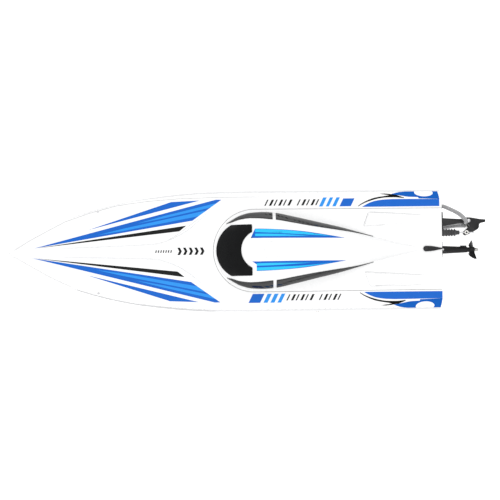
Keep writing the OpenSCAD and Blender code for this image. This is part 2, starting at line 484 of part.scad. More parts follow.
module rod_stopper() color("silver") difference() {
  union() {
    at(arm_s, arm_y, 58.1) cylinder(h = 4.2, r = 2);
    at(arm_s, arm_y, 54.2) cylinder(h = 4, r = 1.2);
  }
  xcyl(450, 465, arm_y, 60.4, rod_r + 0.02);
  at(arm_s, arm_y, 61) cylinder(h = 4, r = 0.85);
}
module stopper_screw() color("#222222") at(arm_s, arm_y, 61) difference() { cylinder(h = 2.1, r = 0.84); translate([0, 0, 1.2]) cylinder(h = 2, r = 0.45, $fn = 6); }
module bellows() color("#3a3a3d") at(432.05, arm_y, 60.4) rotate([0, -90, 0]) rotate_extrude() {
  polygon(concat([[1.2, 0], [3.85, 0], [3.85, 0.8], [2.45, 1.3]],
    [for (k = [0:4]) each [[2.45, 1.4 + k * 2.7], [3.85, 2.1 + k * 2.7], [3.85, 2.6 + k * 2.7], [2.45, 3.3 + k * 2.7]]],
    [[2.2, 14.6], [1.2, 14.6]]));
}
module bellows_nose() color("#3a3a3d") at(446.75, arm_y, 60.4) rotate([0, -90, 0]) difference() {
  cylinder(h = 3.2, r1 = 2.2, r2 = 1.6);
  translate([0, 0, -1]) cylinder(h = 6, r = 0.75);
}

// ---- cooling water ----
upper_route = [[433.4, -42.9, 54], [434.8, -42.8, 54.1], [441, -39.8, 58.2], [446, -36.8, 63.2],
  [450, -33.8, 66.8], [453.2, -30.6, 68.2], [455.6, -27.8, 67], [456.5, -26.4, 64.4], [456.6, -26.1, 61.6]];
lower_route = [[432, -22.5, 32], [438, -22.7, 32.2], [444, -23.4, 33], [450, -24, 34.6], [456.2, -24.1, 35.4]];
in_route = [[352, -14.6, 55.4], [355, -18.4, 58.4], [361, -26, 58.2], [369, -34.6, 54.4], [378, -39.6, 52.4],
  [390, -41.4, 52.4], [404, -42.4, 53.2], [417, -42.8, 53.8], [427.6, -42.9, 54]];
out_route = [[330.6, 14.8, 58], [328.6, 18.6, 60.6], [325, 25.4, 60.2], [320, 33, 56.2], [314, 39.8, 50.4],
  [309, 44.6, 45], [308.2, 46.8, 43.2], [308, 48.7, 42.6]];
module hose_upper() color("#9a9a9c") tube(upper_route, 2, [0.57, 0.82, 0], 10);
module hose_lower() color("#9a9a9c") tube(lower_route, 2, [0, 0, 1], 10);
module hose_inner_in() color("#9a9a9c") tube(in_route, 2, [0, 0, 1], 10);
module hose_inner_out() color("#9a9a9c") tube(out_route, 2, [1, 0, 0], 10);
module hose_grommets() color("#2b2b2d") {
  difference() {
    union() { xcyl(428, 433.2, -42.9, 54, 2.58); xcyl(432.05, 433.2, -42.9, 54, 3.6); xcyl(428, 429.4, -42.9, 54, 3.6); }
    xcyl(420, 440, -42.9, 54, 2.02);
  }
}
module water_outlet() color("silver") difference() {
  union() {
    at(308, 49.6, 42.6) rotate([-90, 0, 0]) cylinder(h = 12.2, r = 1.8);
    at(308, 58.4, 42.6) rotate([-90, 0, 0]) cylinder(h = 1.2, r = 2.6);
    at(308, 50.4, 42.6) rotate([-90, 0, 0]) cylinder(h = 1.3, r = 2.1);
  }
  at(308, 40, 42.6) rotate([-90, 0, 0]) cylinder(h = 30, r = 1.1);
}

// ---- power and radio ----
module battery_tray() color("whitesmoke") union() {
  sbox(212, 292, -19, 19, 32, 33.8);
  for (s = [213, 288]) at(s + 2, 0, 0) rotate([90, 0, 90]) linear_extrude(2) polygon([[-19, 30.4], [-5, 25.4], [5, 25.4], [19, 30.4], [19, 32.2], [-19, 32.2]]);
}
module battery_pack() color("#2d5ccc") sbox(252 - batt_l / 2, 252 + batt_l / 2, -batt_w / 2, batt_w / 2, 34, 34 + batt_h);
module battery_straps() color("#222222") for (s = [228, 264]) difference() {
  sbox(s, s + 12, -20.4, 20.4, 30.8, 35.2 + batt_h);
  sbox(s - 1, s + 13, -19.4, 19.4, 31.8, 34.2 + batt_h);
}
module battery_leads() color("firebrick") for (q = [[-3.4, 49], [3.4, 49]])
  tube([[288.3, q[0], q[1]], [289.8, q[0], q[1] + 0.1], [292, q[0] * 0.98, q[1] + 0.1], [293.6, q[0] * 0.98, q[1]]], 1.3, [0, 0, 1], 8);
module battery_plug() color("gold") difference() { sbox(294, 304, -5, 5, 45.6, 52.4); sbox(299, 299.5, -6, 6, 51.8, 53); }
module speed_control() color("#26272b") union() {
  sbox(262, 312, -45, -23, 42.2, 53.6);
  for (k = [0:6]) sbox(270 + k * 5, 272 + k * 5, -43, -25, 53.5, 56);
}
module control_pad() color("black") at(308, 0, 0) rotate([90, 0, 90]) linear_extrude(42) polygon([[-44, 39.4], [-24, 32.2], [-24, 42.1], [-44, 42.1]]);
module control_leads() color("firebrick") {
  tube([[304.8, -2.6, 49], [306, -3.3, 49.3], [305.8, -9, 50], [301.5, -13.5, 50], [298.6, -17.5, 49.8], [298, -22.7, 49]], 1.3, [0, 0, 1], 8);
  tube([[304.4, 2.6, 49], [308, 2.4, 49.4], [310.4, -3, 50], [309.8, -10, 50.2], [306.8, -16.5, 50], [306, -22.7, 49]], 1.3, [0, 0, 1], 8);
}
module motor_leads() color("gold") for (k = [-1, 0, 1])
  tube([[315.1, -2 + k * 2.4, 45.5 + k * 2.6], [313.6, -3.6 + k * 2.2, 46 + k * 3], [313.4, -12, 46 + k * 3.4], [314.8, -22, 47 + k * 3.4],
    [315.4, -31, 47.2 + k * 3.3], [314.6, -35.4, 47.5 + k * 3.2], [312.7, -36.2, 47.5 + k * 3.2]], 1.1, [0, 0, 1], 8);
module receiver() color("#1d1e22") sbox(340, 370, 22, 42, 43.4, 54.4);
module receiver_pad() color("black") at(368, 0, 0) rotate([90, 0, 90]) linear_extrude(26) polygon([[22.5, 31.6], [41.5, 38.5], [41.5, 43.3], [22.5, 43.3]]);
module servo_lead() color("#8a5a2a") tube([[396, -21.5, 42], [397, -18.5, 43], [401, -12, 45.5], [404, -4, 47], [403, 5, 47.4],
  [398, 14, 47.6], [388, 23, 48], [378, 30, 48], [370.4, 32, 48]], 1.2, [0, 0, 1], 8);

hull_shell();
deck_shell();
deck_screws();
hatch_frame();
hatch_gasket();
strut();
strut_screws();
stuffing_tube();
front_bushing();
rear_bushing();
rudder_bracket();
bracket_screws();
motor_can();
water_jacket();
motor_mount();
motor_screws();
servo_case();
servo_mount();
servo_screws();
bellows();
hose_grommets();
hose_upper();
hose_lower();
hose_inner_in();
hose_inner_out();
water_outlet();
speed_control();
control_pad();
receiver();
receiver_pad();
battery_pack();
battery_tray();
battery_straps();
battery_leads();
battery_plug();
control_leads();
motor_leads();
servo_lead();
drive_shaft();
shaft_coupler();
coupler_screws();
motor_shaft();
drive_dog();
propeller();
prop_nut();
rudder_blade();
rudder_pin();
rudder_nipples();
servo_horn();
horn_screw();
pushrod();
rod_stopper();
stopper_screw();
bellows_nose();
hatch_cover();
windshield();
side_windows();
latch_lever();
latch_screw();
latch_cam();
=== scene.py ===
import json
import math

import bmesh
import bpy
import numpy as np
from mathutils import Matrix, Vector
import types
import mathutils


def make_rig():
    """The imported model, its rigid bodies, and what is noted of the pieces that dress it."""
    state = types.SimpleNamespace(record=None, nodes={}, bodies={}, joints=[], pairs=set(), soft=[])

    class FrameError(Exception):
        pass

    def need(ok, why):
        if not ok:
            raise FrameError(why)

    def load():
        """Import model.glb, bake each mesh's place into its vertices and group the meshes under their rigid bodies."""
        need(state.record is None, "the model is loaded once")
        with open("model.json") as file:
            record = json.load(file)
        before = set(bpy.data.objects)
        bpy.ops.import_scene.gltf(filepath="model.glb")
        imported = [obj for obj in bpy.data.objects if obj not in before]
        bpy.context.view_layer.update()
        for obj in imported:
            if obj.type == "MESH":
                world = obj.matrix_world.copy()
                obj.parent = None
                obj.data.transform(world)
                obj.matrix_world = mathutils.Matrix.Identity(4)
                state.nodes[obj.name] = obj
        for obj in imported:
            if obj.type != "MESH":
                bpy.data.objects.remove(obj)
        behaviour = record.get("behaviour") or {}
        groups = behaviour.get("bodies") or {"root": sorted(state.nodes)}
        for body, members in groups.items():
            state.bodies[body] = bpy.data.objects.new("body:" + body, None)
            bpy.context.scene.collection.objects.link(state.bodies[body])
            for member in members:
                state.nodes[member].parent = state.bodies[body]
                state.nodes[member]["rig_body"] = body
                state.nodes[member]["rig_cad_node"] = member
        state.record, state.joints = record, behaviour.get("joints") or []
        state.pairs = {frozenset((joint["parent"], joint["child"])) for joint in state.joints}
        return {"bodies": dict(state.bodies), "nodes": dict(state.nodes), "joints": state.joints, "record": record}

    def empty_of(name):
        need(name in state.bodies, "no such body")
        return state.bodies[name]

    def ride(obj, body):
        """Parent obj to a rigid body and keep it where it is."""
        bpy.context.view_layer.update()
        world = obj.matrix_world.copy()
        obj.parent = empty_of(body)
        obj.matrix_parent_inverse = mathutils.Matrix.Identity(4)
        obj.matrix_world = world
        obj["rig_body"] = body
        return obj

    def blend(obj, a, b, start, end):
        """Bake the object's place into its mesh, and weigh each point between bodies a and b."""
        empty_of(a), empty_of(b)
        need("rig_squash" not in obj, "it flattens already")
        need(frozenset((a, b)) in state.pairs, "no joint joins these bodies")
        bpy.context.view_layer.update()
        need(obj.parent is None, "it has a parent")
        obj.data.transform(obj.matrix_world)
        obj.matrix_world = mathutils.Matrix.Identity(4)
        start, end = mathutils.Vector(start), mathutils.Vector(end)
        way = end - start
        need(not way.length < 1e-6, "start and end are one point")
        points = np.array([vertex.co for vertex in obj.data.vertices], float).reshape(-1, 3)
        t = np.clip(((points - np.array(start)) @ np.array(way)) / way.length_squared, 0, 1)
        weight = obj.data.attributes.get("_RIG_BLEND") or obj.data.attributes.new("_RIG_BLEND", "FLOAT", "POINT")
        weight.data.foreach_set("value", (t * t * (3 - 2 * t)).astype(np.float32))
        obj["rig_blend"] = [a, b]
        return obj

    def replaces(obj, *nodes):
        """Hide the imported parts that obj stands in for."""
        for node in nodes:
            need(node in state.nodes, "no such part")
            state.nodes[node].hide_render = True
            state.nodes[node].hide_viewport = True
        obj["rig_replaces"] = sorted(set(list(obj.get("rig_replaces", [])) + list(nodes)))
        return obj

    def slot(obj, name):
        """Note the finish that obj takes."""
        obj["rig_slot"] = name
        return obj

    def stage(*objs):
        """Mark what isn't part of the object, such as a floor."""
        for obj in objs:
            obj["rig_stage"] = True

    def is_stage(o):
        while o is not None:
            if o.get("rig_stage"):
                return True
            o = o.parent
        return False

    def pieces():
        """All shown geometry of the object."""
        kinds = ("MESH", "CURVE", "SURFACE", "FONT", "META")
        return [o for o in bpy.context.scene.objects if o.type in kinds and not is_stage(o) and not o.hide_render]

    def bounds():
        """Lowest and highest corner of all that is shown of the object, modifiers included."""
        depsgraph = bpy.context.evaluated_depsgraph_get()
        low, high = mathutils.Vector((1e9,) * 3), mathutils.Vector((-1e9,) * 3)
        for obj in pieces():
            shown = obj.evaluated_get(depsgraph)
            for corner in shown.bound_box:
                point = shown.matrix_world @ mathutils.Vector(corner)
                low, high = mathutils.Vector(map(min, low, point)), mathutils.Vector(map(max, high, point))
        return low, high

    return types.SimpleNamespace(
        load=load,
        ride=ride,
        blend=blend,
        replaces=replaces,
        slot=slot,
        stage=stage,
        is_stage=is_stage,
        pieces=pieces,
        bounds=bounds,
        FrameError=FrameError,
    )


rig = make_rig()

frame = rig.load()
CAD_BOX = [list(v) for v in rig.bounds()]
NODES = frame["nodes"]
MM = 0.001
HALF = 238.25
scene = bpy.context.scene


# ------------------------------------------------------------------ tables
def pchip(tab, smooth=0.0):
    x = np.array([t[0] for t in tab], float)
    y = np.array([t[1] for t in tab], float)
    h = np.diff(x)
    d = np.diff(y) / h
    m = np.zeros(len(x))
    m[0], m[-1] = d[0], d[-1]
    for i in range(1, len(x) - 1):
        if d[i - 1] * d[i] > 0:
            w1, w2 = 2 * h[i] + h[i - 1], h[i] + 2 * h[i - 1]
            m[i] = (w1 + w2) / (w1 / d[i - 1] + w2 / d[i])

    def f(s):
        s = np.clip(np.asarray(s, float), x[0], x[-1])
        i = np.clip(np.searchsorted(x, s, "right") - 1, 0, len(h) - 1)
        t = (s - x[i]) / h[i]
        return (
            (2 * t**3 - 3 * t**2 + 1) * y[i]
            + (t**3 - 2 * t**2 + t) * h[i] * m[i]
            + (-2 * t**3 + 3 * t**2) * y[i + 1]
            + (t**3 - t**2) * h[i] * m[i + 1]
        )

    if not smooth:
        return f
    gx = np.linspace(x[0], x[-1], int((x[-1] - x[0]) * 2) + 1)
    gy = f(gx)
    n = max(1, int(smooth * 2))
    k = np.hanning(2 * n + 3)[1:-1]
    k /= k.sum()
    pad = len(k) // 2
    ext = np.concatenate(
        [2 * gy[0] - gy[1 : pad + 1][::-1], gy, 2 * gy[-1] - gy[-pad - 1 : -1][::-1]]
    )
    sm = np.convolve(ext, k, "valid")
    return lambda s: np.interp(np.asarray(s, float), gx, sm)


beam_a = pchip(
    [[2, 5], [6, 8.5], [12, 12.3], [22, 18.4], [31, 23], [40, 27.3],
     [50, 32], [60, 35.4], [71, 39.3], [83, 43], [95, 46.2], [107, 49], [119, 51.6],
     [131, 53.7], [143, 55.4], [155, 57], [167, 58.3], [180, 59.4], [191, 60.1],
     [210, 60.7], [240, 61], [330, 60.9], [432, 60.4]], 7)
lip = pchip([[0, 0.4], [40, 0.6], [80, 2.1], [432, 2.1]], 4)
fold_t = pchip([[0, 0.9], [60, 33.2], [91, 42.7], [121, 48.4], [151, 51], [191, 53.6],
                [221, 54.2], [241, 54], [291, 53.4], [341, 52.9], [371, 51.7], [421, 49.8], [432, 49.4]], 6)
keel_t = pchip([[0, 30], [5, 22], [15, 15], [30, 9.5], [50, 5.5], [80, 2], [120, 0.3], [150, 0], [432, 0]])
chine_y = pchip([[0, 0.6], [10, 5], [30, 14], [60, 25], [100, 37], [150, 48], [200, 53],
                 [260, 54.5], [432, 53.5]], 6)
chine_z = pchip([[0, 54], [30, 49], [60, 46.5], [100, 44], [150, 42], [200, 40.5],
                 [300, 39.5], [432, 39]], 5)
flange_z = pchip([[0, 57], [30, 54.5], [60, 52.5], [100, 51], [150, 49.5], [200, 48.5],
                  [300, 48], [432, 48]], 5)
fold_z = pchip([[0, 59.4], [30, 60.6], [60, 62.2], [100, 64], [150, 65.4], [200, 66.4],
                [300, 67], [432, 67]], 5)
crown = pchip([[0, 0], [40, 0.8], [100, 1.4], [200, 1.6], [300, 1], [432, 1]], 5)
spine_w = pchip([[0, 1], [46, 4], [99, 5.6], [141, 7.1], [151, 8], [154, 9], [166, 13.6],
                 [177.5, 20], [191, 30.8], [201, 39], [432, 39]], 3)
spine_h = pchip([[0, 0], [44, 0], [60, 1.6], [90, 2.5], [170, 2.5], [192, 1.4], [203, 0], [432, 0]], 3)
can_w = pchip([[205.8, 0], [207, 8], [209, 14.5], [212.4, 22], [217, 26.5], [222.6, 30],
               [230.7, 34.6], [242, 37.6], [253, 38.2], [263.6, 37.6], [285, 33.2], [307.2, 27.9],
               [330.7, 22.2], [350.7, 16.4], [363.9, 12.5], [396, 4.5], [408, 1.5], [412, 0]])
can_h = pchip([[206.5, 0], [212, 0.2], [220, 0.47], [232, 0.765], [245, 0.92],
               [260, 1], [275, 1], [300, 0.882], [330, 0.667], [364, 0.373], [396, 0.118], [410, 0]], 3)
win_in = pchip([[217, 1], [222.6, 0.93], [230.7, 0.88], [246, 0.833], [263.6, 0.80],
                [292, 0.797], [322.5, 0.83], [350.7, 0.945], [363.9, 1]])


def beam(s):
    s = np.asarray(s, float)
    b2 = float(beam_a(2.0))
    return np.where(s < 2, b2 * np.sqrt(np.clip(s / 2, 0, 1)) ** 0.9, beam_a(np.maximum(s, 2)))


def yb(s):
    return beam(s) - np.minimum(lip(s), 0.5 * beam(s))


def ledge(s):
    return np.minimum(1.3, foldw0(s) * 0.1)


def foldw0(s):
    return fold_t(np.maximum(s, 2)) * np.where(np.asarray(s) < 2, beam(s) / beam(2.0), 1)


def foldw(s):
    """half-width of the deck top, kept inside the shoulder near the bow"""
    a, b = foldw0(s), yb(s) - 0.3 * np.clip(np.asarray(s) / 6, 0, 1) - ledge(s)
    return np.maximum(np.minimum(a, b), 0)


def zdeck(s, y):
    f = np.maximum(foldw(s), 1e-3)
    return fold_z(s) + crown(s) * (1 - np.minimum(1, np.abs(y) / f) ** 2)


CANOPY = 25.5


def zcan(s, y):
    w = can_w(s)
    h = CANOPY * can_h(s)
    u = np.abs(y) / np.maximum(w, 1e-3)
    return np.where((u < 1) & (w > 0.02), h * np.clip(1 - np.minimum(u, 1) ** 2.6, 0, 1) ** 0.75, 0)


def zhatch(s, y):
    return zdeck(s, y) + zcan(s, y)


def P(s, y, z):
    return (MM * (HALF - s), MM * y, MM * z)


def smooth01(t):
    t = np.clip(t, 0, 1)
    return t * t * (3 - 2 * t)


# ------------------------------------------------------------------ mesh help
def make(name, verts, faces, body, mat, slot=None, sharp=35, bevel=0.0, seg=2, weld=2e-6,
         recalc=True, replaces=(), limit=32):
    me = bpy.data.meshes.new(name)
    me.from_pydata([tuple(map(float, v)) for v in verts], [], [tuple(f) for f in faces])
    return dress(name, me, body, mat, slot, sharp, bevel, seg, weld, recalc, replaces, limit)


def dress(name, me, body, mat, slot=None, sharp=35, bevel=0.0, seg=2, weld=2e-6, recalc=True,
          replaces=(), limit=32):
    bm = bmesh.new()
    bm.from_mesh(me)
    if weld:
        bmesh.ops.remove_doubles(bm, verts=bm.verts, dist=weld)
        bmesh.ops.dissolve_degenerate(bm, edges=bm.edges, dist=weld * 0.5)
    if recalc:
        bmesh.ops.recalc_face_normals(bm, faces=bm.faces)
    bm.to_mesh(me)
    bm.free()
    ob = bpy.data.objects.new(name, me)
    scene.collection.objects.link(ob)
    if bevel:
        mod = ob.modifiers.new("edge", "BEVEL")
        mod.width = bevel
        mod.segments = seg
        mod.limit_method = "ANGLE"
        mod.angle_limit = math.radians(limit)
        mod.use_clamp_overlap = True
        mod.harden_normals = False
        apply(ob)
    ob.data.shade_smooth()
    ob.data.set_sharp_from_angle(angle=math.radians(sharp))
    ob.data.materials.clear()
    ob.data.materials.append(mat)
    if replaces:
        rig.replaces(ob, *replaces)
    if slot:
        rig.slot(ob, slot)
    if body:
        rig.ride(ob, body)
    return ob


def apply(ob):
    dg = bpy.context.evaluated_depsgraph_get()
    me = bpy.data.meshes.new_from_object(ob.evaluated_get(dg), preserve_all_data_layers=False, depsgraph=dg)
    old = ob.data
    ob.modifiers.clear()
    ob.data = me
    bpy.data.meshes.remove(old)
    me.name = ob.name
    return ob


def cut(ob, tools):
    """take the tool solids out of ob"""
    for t in tools:
        m = ob.modifiers.new("cut", "BOOLEAN")
        m.operation = "DIFFERENCE"
        m.solver = "EXACT"
        m.object = t
        apply(ob)
        me = t.data
        bpy.data.objects.remove(t)
        bpy.data.meshes.remove(me)
    ob.data.shade_smooth()
    ob.data.set_sharp_from_angle(angle=math.radians(35))


def rod(p, q, r, sides=40):
    """a scratch cylinder between two frame points in mm, used only as a cutting tool"""
    a, b = Vector(P(*p)), Vector(P(*q))
    bm = bmesh.new()
    bmesh.ops.create_cone(bm, cap_ends=True, segments=sides, radius1=r * MM, radius2=r * MM, depth=(b - a).length)
    rot = (b - a).to_track_quat("Z", "Y").to_matrix().to_4x4()
    bmesh.ops.transform(bm, matrix=Matrix.Translation((a + b) / 2) @ rot, verts=bm.verts)
    me = bpy.data.meshes.new("tool")
    bm.to_mesh(me)
    bm.free()
    ob = bpy.data.objects.new("tool", me)
    scene.collection.objects.link(ob)
    return ob


def grid_faces(n, m, base=0, flip=False):
    out = []
    for a in range(n - 1):
        for c in range(m - 1):
            q = (base + a * m + c, base + a * m + c + 1, base + (a + 1) * m + c + 1, base + (a + 1) * m + c)
            out.append(q[::-1] if flip else q)
    return out


def normals(surf, s, y, e=0.05):
    """unit normal of the height field z = surf(s, y), in frame axes"""
    dzs = (surf(s + e, y) - surf(s - e, y)) / (2 * e)
    dzy = (surf(s, y + e) - surf(s, y - e)) / (2 * e)
    n = np.stack([dzs, -dzy, np.ones_like(dzs)], -1)
    return n / np.linalg.norm(n, axis=-1, keepdims=True)


def lathe(profile, steps=64, closed=True):
    """verts and faces of a profile of (r, h) turned about +Z"""
    n = len(profile)
    verts, faces = [], []
    for k in range(steps):
        a = 2 * math.pi * k / steps
        for r, h in profile:
            verts.append((r * math.cos(a), r * math.sin(a), h))
    for k in range(steps):
        k2 = (k + 1) % steps
        for i in range(n if closed else n - 1):
            j = (i + 1) % n
            faces.append((k * n + i, k2 * n + i, k2 * n + j, k * n + j))
    return verts, faces


def round_profile(pts, r, seg=3):
    """round the corners of a closed (r, h) profile"""
    out = []
    n = len(pts)
    for i in range(n):
        a, b, c = (np.array(pts[(i + k) % n], float) for k in (-1, 0, 1))
        la, lc = np.linalg.norm(a - b), np.linalg.norm(c - b)
        if la < 1e-9 or lc < 1e-9:
            continue
        q = min(r, la * 0.45, lc * 0.45)
        p0, p1 = b + (a - b) / la * q, b + (c - b) / lc * q
        for t in np.linspace(0, 1, seg + 1):
            out.append(tuple((1 - t) ** 2 * p0 + 2 * t * (1 - t) * b + t * t * p1))
    return out


def spline(pts, n):
    """a smooth curve through points, as n points"""
    p = np.array(pts, float)
    d = np.r_[0, np.cumsum(np.linalg.norm(np.diff(p, axis=0), axis=1) ** 0.7)]
    out = []
    ext = np.vstack([2 * p[0] - p[1], p, 2 * p[-1] - p[-2]])
    de = np.r_[-d[1], d, 2 * d[-1] - d[-2]]
    for t in np.linspace(0, d[-1], n):
        i = min(max(int(np.searchsorted(d, t, "right") - 1), 0), len(p) - 2) + 1
        t0, t1, t2, t3 = de[i - 1 : i + 3]
        p0, p1, p2, p3 = ext[i - 1 : i + 3]
        a1 = (t1 - t) / (t1 - t0) * p0 + (t - t0) / (t1 - t0) * p1
        a2 = (t2 - t) / (t2 - t1) * p1 + (t - t1) / (t2 - t1) * p2
        a3 = (t3 - t) / (t3 - t2) * p2 + (t - t2) / (t3 - t2) * p3
        b1 = (t2 - t) / (t2 - t0) * a1 + (t - t0) / (t2 - t0) * a2
        b2 = (t3 - t) / (t3 - t1) * a2 + (t - t1) / (t3 - t1) * a3
        out.append((t2 - t) / (t2 - t1) * b1 + (t - t1) / (t2 - t1) * b2)
    p = np.array(out)
    return p


def sweep(route, r_out, r_in=0.0, n=90, sides=28, ends=0.25):
    """a hose or wire along [s, y, z] points, with softened ends and, if r_in is given, a bore"""
    p = spline([[HALF - q[0], q[1], q[2]] for q in route], n)
    t = np.gradient(p, axis=0)
    t /= np.linalg.norm(t, axis=1)[:, None]
    ref = np.array([0, 0, 1.0]) if abs(t[0][2]) < 0.8 else np.array([0, 1.0, 0])
    u = np.cross(ref, t[0])
    us = []
    for k in range(n):
        u = u - t[k] * np.dot(u, t[k])
        u /= np.linalg.norm(u)
        us.append(u)
    seq = []
    if r_in:
        seq.append((0, r_in, 0.0))
    seq += [(0, r_out - ends, 0.0), (0, r_out - ends * 0.3, ends * 0.3), (0, r_out, ends)]
    seq += [(k, r_out, 0.0) for k in range(1, n - 1)]
    seq += [(n - 1, r_out, -ends), (n - 1, r_out - ends * 0.3, -ends * 0.3), (n - 1, r_out - ends, 0.0)]
    if r_in:
        seq += [(k, r_in, 0.0) for k in range(n - 1, 0, -1)]
    verts, faces = [], []
    for k, r, off in seq:
        c = p[k] + t[k] * off
        v = np.cross(t[k], us[k])
        for a in range(sides):
            g = 2 * math.pi * a / sides
            verts.append(MM * (c + r * (math.cos(g) * us[k] + math.sin(g) * v)))
    m = len(seq)
    for i in range(m if r_in else m - 1):
        j = (i + 1) % m
        for a in range(sides):
            b = (a + 1) % sides
            faces.append((i * sides + a, i * sides + b, j * sides + b, j * sides + a))
    if not r_in:
        faces.append(tuple(range(sides))[::-1])
        faces.append(tuple((m - 1) * sides + a for a in range(sides)))
    return verts, faces


# ------------------------------------------------------------------ materials
def node_mat(name, base, rough=0.4, metal=0.0, var=0.06, var_scale=120.0, bump=0.0, bump_scale=900.0,
             rough_var=0.08, coat=0.0, coat_rough=0.1, sheen=0.0, trans=0.0, ior=1.45, spec=0.5,
             aniso=0.0, stretch=None, pattern=None, subsurface=0.0, edge_lighten=0.0, edge_lighten_tone=None, tint=None):
    mat = bpy.data.materials.new(name)
    mat.use_nodes = True
    nt = mat.node_tree
    nt.nodes.clear()
    out = nt.nodes.new("ShaderNodeOutputMaterial")
    b = nt.nodes.new("ShaderNodeBsdfPrincipled")
    nt.links.new(b.outputs[0], out.inputs[0])
    b.inputs["Metallic"].default_value = metal
    b.inputs["IOR"].default_value = ior
    b.inputs["Coat Weight"].default_value = coat
    b.inputs["Coat Roughness"].default_value = coat_rough
    b.inputs["Sheen Weight"].default_value = sheen
    b.inputs["Transmission Weight"].default_value = trans
    b.inputs["Specular IOR Level"].default_value = spec
    b.inputs["Anisotropic"].default_value = aniso
    if subsurface:
        b.inputs["Subsurface Weight"].default_value = subsurface
        b.inputs["Subsurface Scale"].default_value = 0.002
    co = nt.nodes.new("ShaderNodeTexCoord")
    mp = nt.nodes.new("ShaderNodeMapping")
    if stretch:
        mp.inputs["Scale"].default_value = stretch
    nt.links.new(co.outputs["Object"], mp.inputs["Vector"])
    n1 = nt.nodes.new("ShaderNodeTexNoise")
    n1.inputs["Scale"].default_value = var_scale
    n1.inputs["Detail"].default_value = 4.0
    n1.inputs["Roughness"].default_value = 0.55
    nt.links.new(mp.outputs[0], n1.inputs["Vector"])
    ramp = nt.nodes.new("ShaderNodeValToRGB")
    lo = [max(0.0, c * (1 - var)) for c in base]
    hi = [min(1.0, c * (1 + var * 0.7)) for c in base]
    if tint:
        lo = [c * t for c, t in zip(lo, tint)]
    ramp.color_ramp.elements[0].position = 0.3
    ramp.color_ramp.elements[1].position = 0.7
    ramp.color_ramp.elements[0].color = (*lo, 1)
    ramp.color_ramp.elements[1].color = (*hi, 1)
    nt.links.new(n1.outputs["Fac"], ramp.inputs["Fac"])
    colour = ramp.outputs["Color"]
    height = None
    if pattern:
        colour, height = pattern(nt, mp, colour, base)
    # lighter colour on convex edges, picked out by pointiness
    if edge_lighten:
        geo = nt.nodes.new("ShaderNodeNewGeometry")
        wr = nt.nodes.new("ShaderNodeMapRange")
        wr.inputs["From Min"].default_value = 0.54
        wr.inputs["From Max"].default_value = 0.62
        wr.inputs["To Min"].default_value = 0.0
        wr.inputs["To Max"].default_value = edge_lighten
        nt.links.new(geo.outputs["Pointiness"], wr.inputs["Value"])
        mx = nt.nodes.new("ShaderNodeMix")
        mx.data_type = "RGBA"
        nt.links.new(wr.outputs[0], mx.inputs[0])
        nt.links.new(colour, mx.inputs[6])
        mx.inputs[7].default_value = (*(edge_lighten_tone or [min(1, c * 1.8 + 0.05) for c in base]), 1)
        colour = mx.outputs[2]
    nt.links.new(colour, b.inputs["Base Color"])
    n2 = nt.nodes.new("ShaderNodeTexNoise")
    n2.inputs["Scale"].default_value = var_scale * 2.3
    n2.inputs["Detail"].default_value = 3.0
    nt.links.new(mp.outputs[0], n2.inputs["Vector"])
    mr = nt.nodes.new("ShaderNodeMapRange")
    mr.inputs["From Min"].default_value = 0.3
    mr.inputs["From Max"].default_value = 0.7
    mr.inputs["To Min"].default_value = max(0.02, rough - rough_var)
    mr.inputs["To Max"].default_value = min(1.0, rough + rough_var)
    nt.links.new(n2.outputs["Fac"], mr.inputs["Value"])
    nt.links.new(mr.outputs[0], b.inputs["Roughness"])
    if bump:
        n3 = nt.nodes.new("ShaderNodeTexNoise")
        n3.inputs["Scale"].default_value = bump_scale
        n3.inputs["Detail"].default_value = 3.0
        nt.links.new(mp.outputs[0], n3.inputs["Vector"])
        bp = nt.nodes.new("ShaderNodeBump")
        bp.inputs["Strength"].default_value = bump
        bp.inputs["Distance"].default_value = 0.0001
        nt.links.new(n3.outputs["Fac"], bp.inputs["Height"])
        last = bp
        if height is not None:
            b2 = nt.nodes.new("ShaderNodeBump")
            b2.inputs["Strength"].default_value = 0.6
            b2.inputs["Distance"].default_value = 0.0002
            nt.links.new(height, b2.inputs["Height"])
            nt.links.new(bp.outputs[0], b2.inputs["Normal"])
            last = b2
        nt.links.new(last.outputs[0], b.inputs["Normal"])
    return mat


def weave(period=1400.0, depth=0.35):
    """a woven webbing pattern from two crossed waves"""

    def make_it(nt, mp, colour, base):
        waves = []
        for axis in ("X", "Y"):
            w = nt.nodes.new("ShaderNodeTexWave")
            w.wave_type = "BANDS"
            w.bands_direction = axis
            w.inputs["Scale"].default_value = period
            w.inputs["Distortion"].default_value = 0.4
            nt.links.new(mp.outputs[0], w.inputs["Vector"])
            waves.append(w)
        mu = nt.nodes.new("ShaderNodeMath")
        mu.operation = "MULTIPLY"
        nt.links.new(waves[0].outputs["Fac"], mu.inputs[0])
        nt.links.new(waves[1].outputs["Fac"], mu.inputs[1])
        mx = nt.nodes.new("ShaderNodeMix")
        mx.data_type = "RGBA"
        mx.blend_type = "MULTIPLY"
        mx.inputs[0].default_value = depth
        nt.links.new(colour, mx.inputs[6])
        nt.links.new(mu.outputs[0], mx.inputs[7])
        return mx.outputs[2], mu.outputs[0]

    return make_it


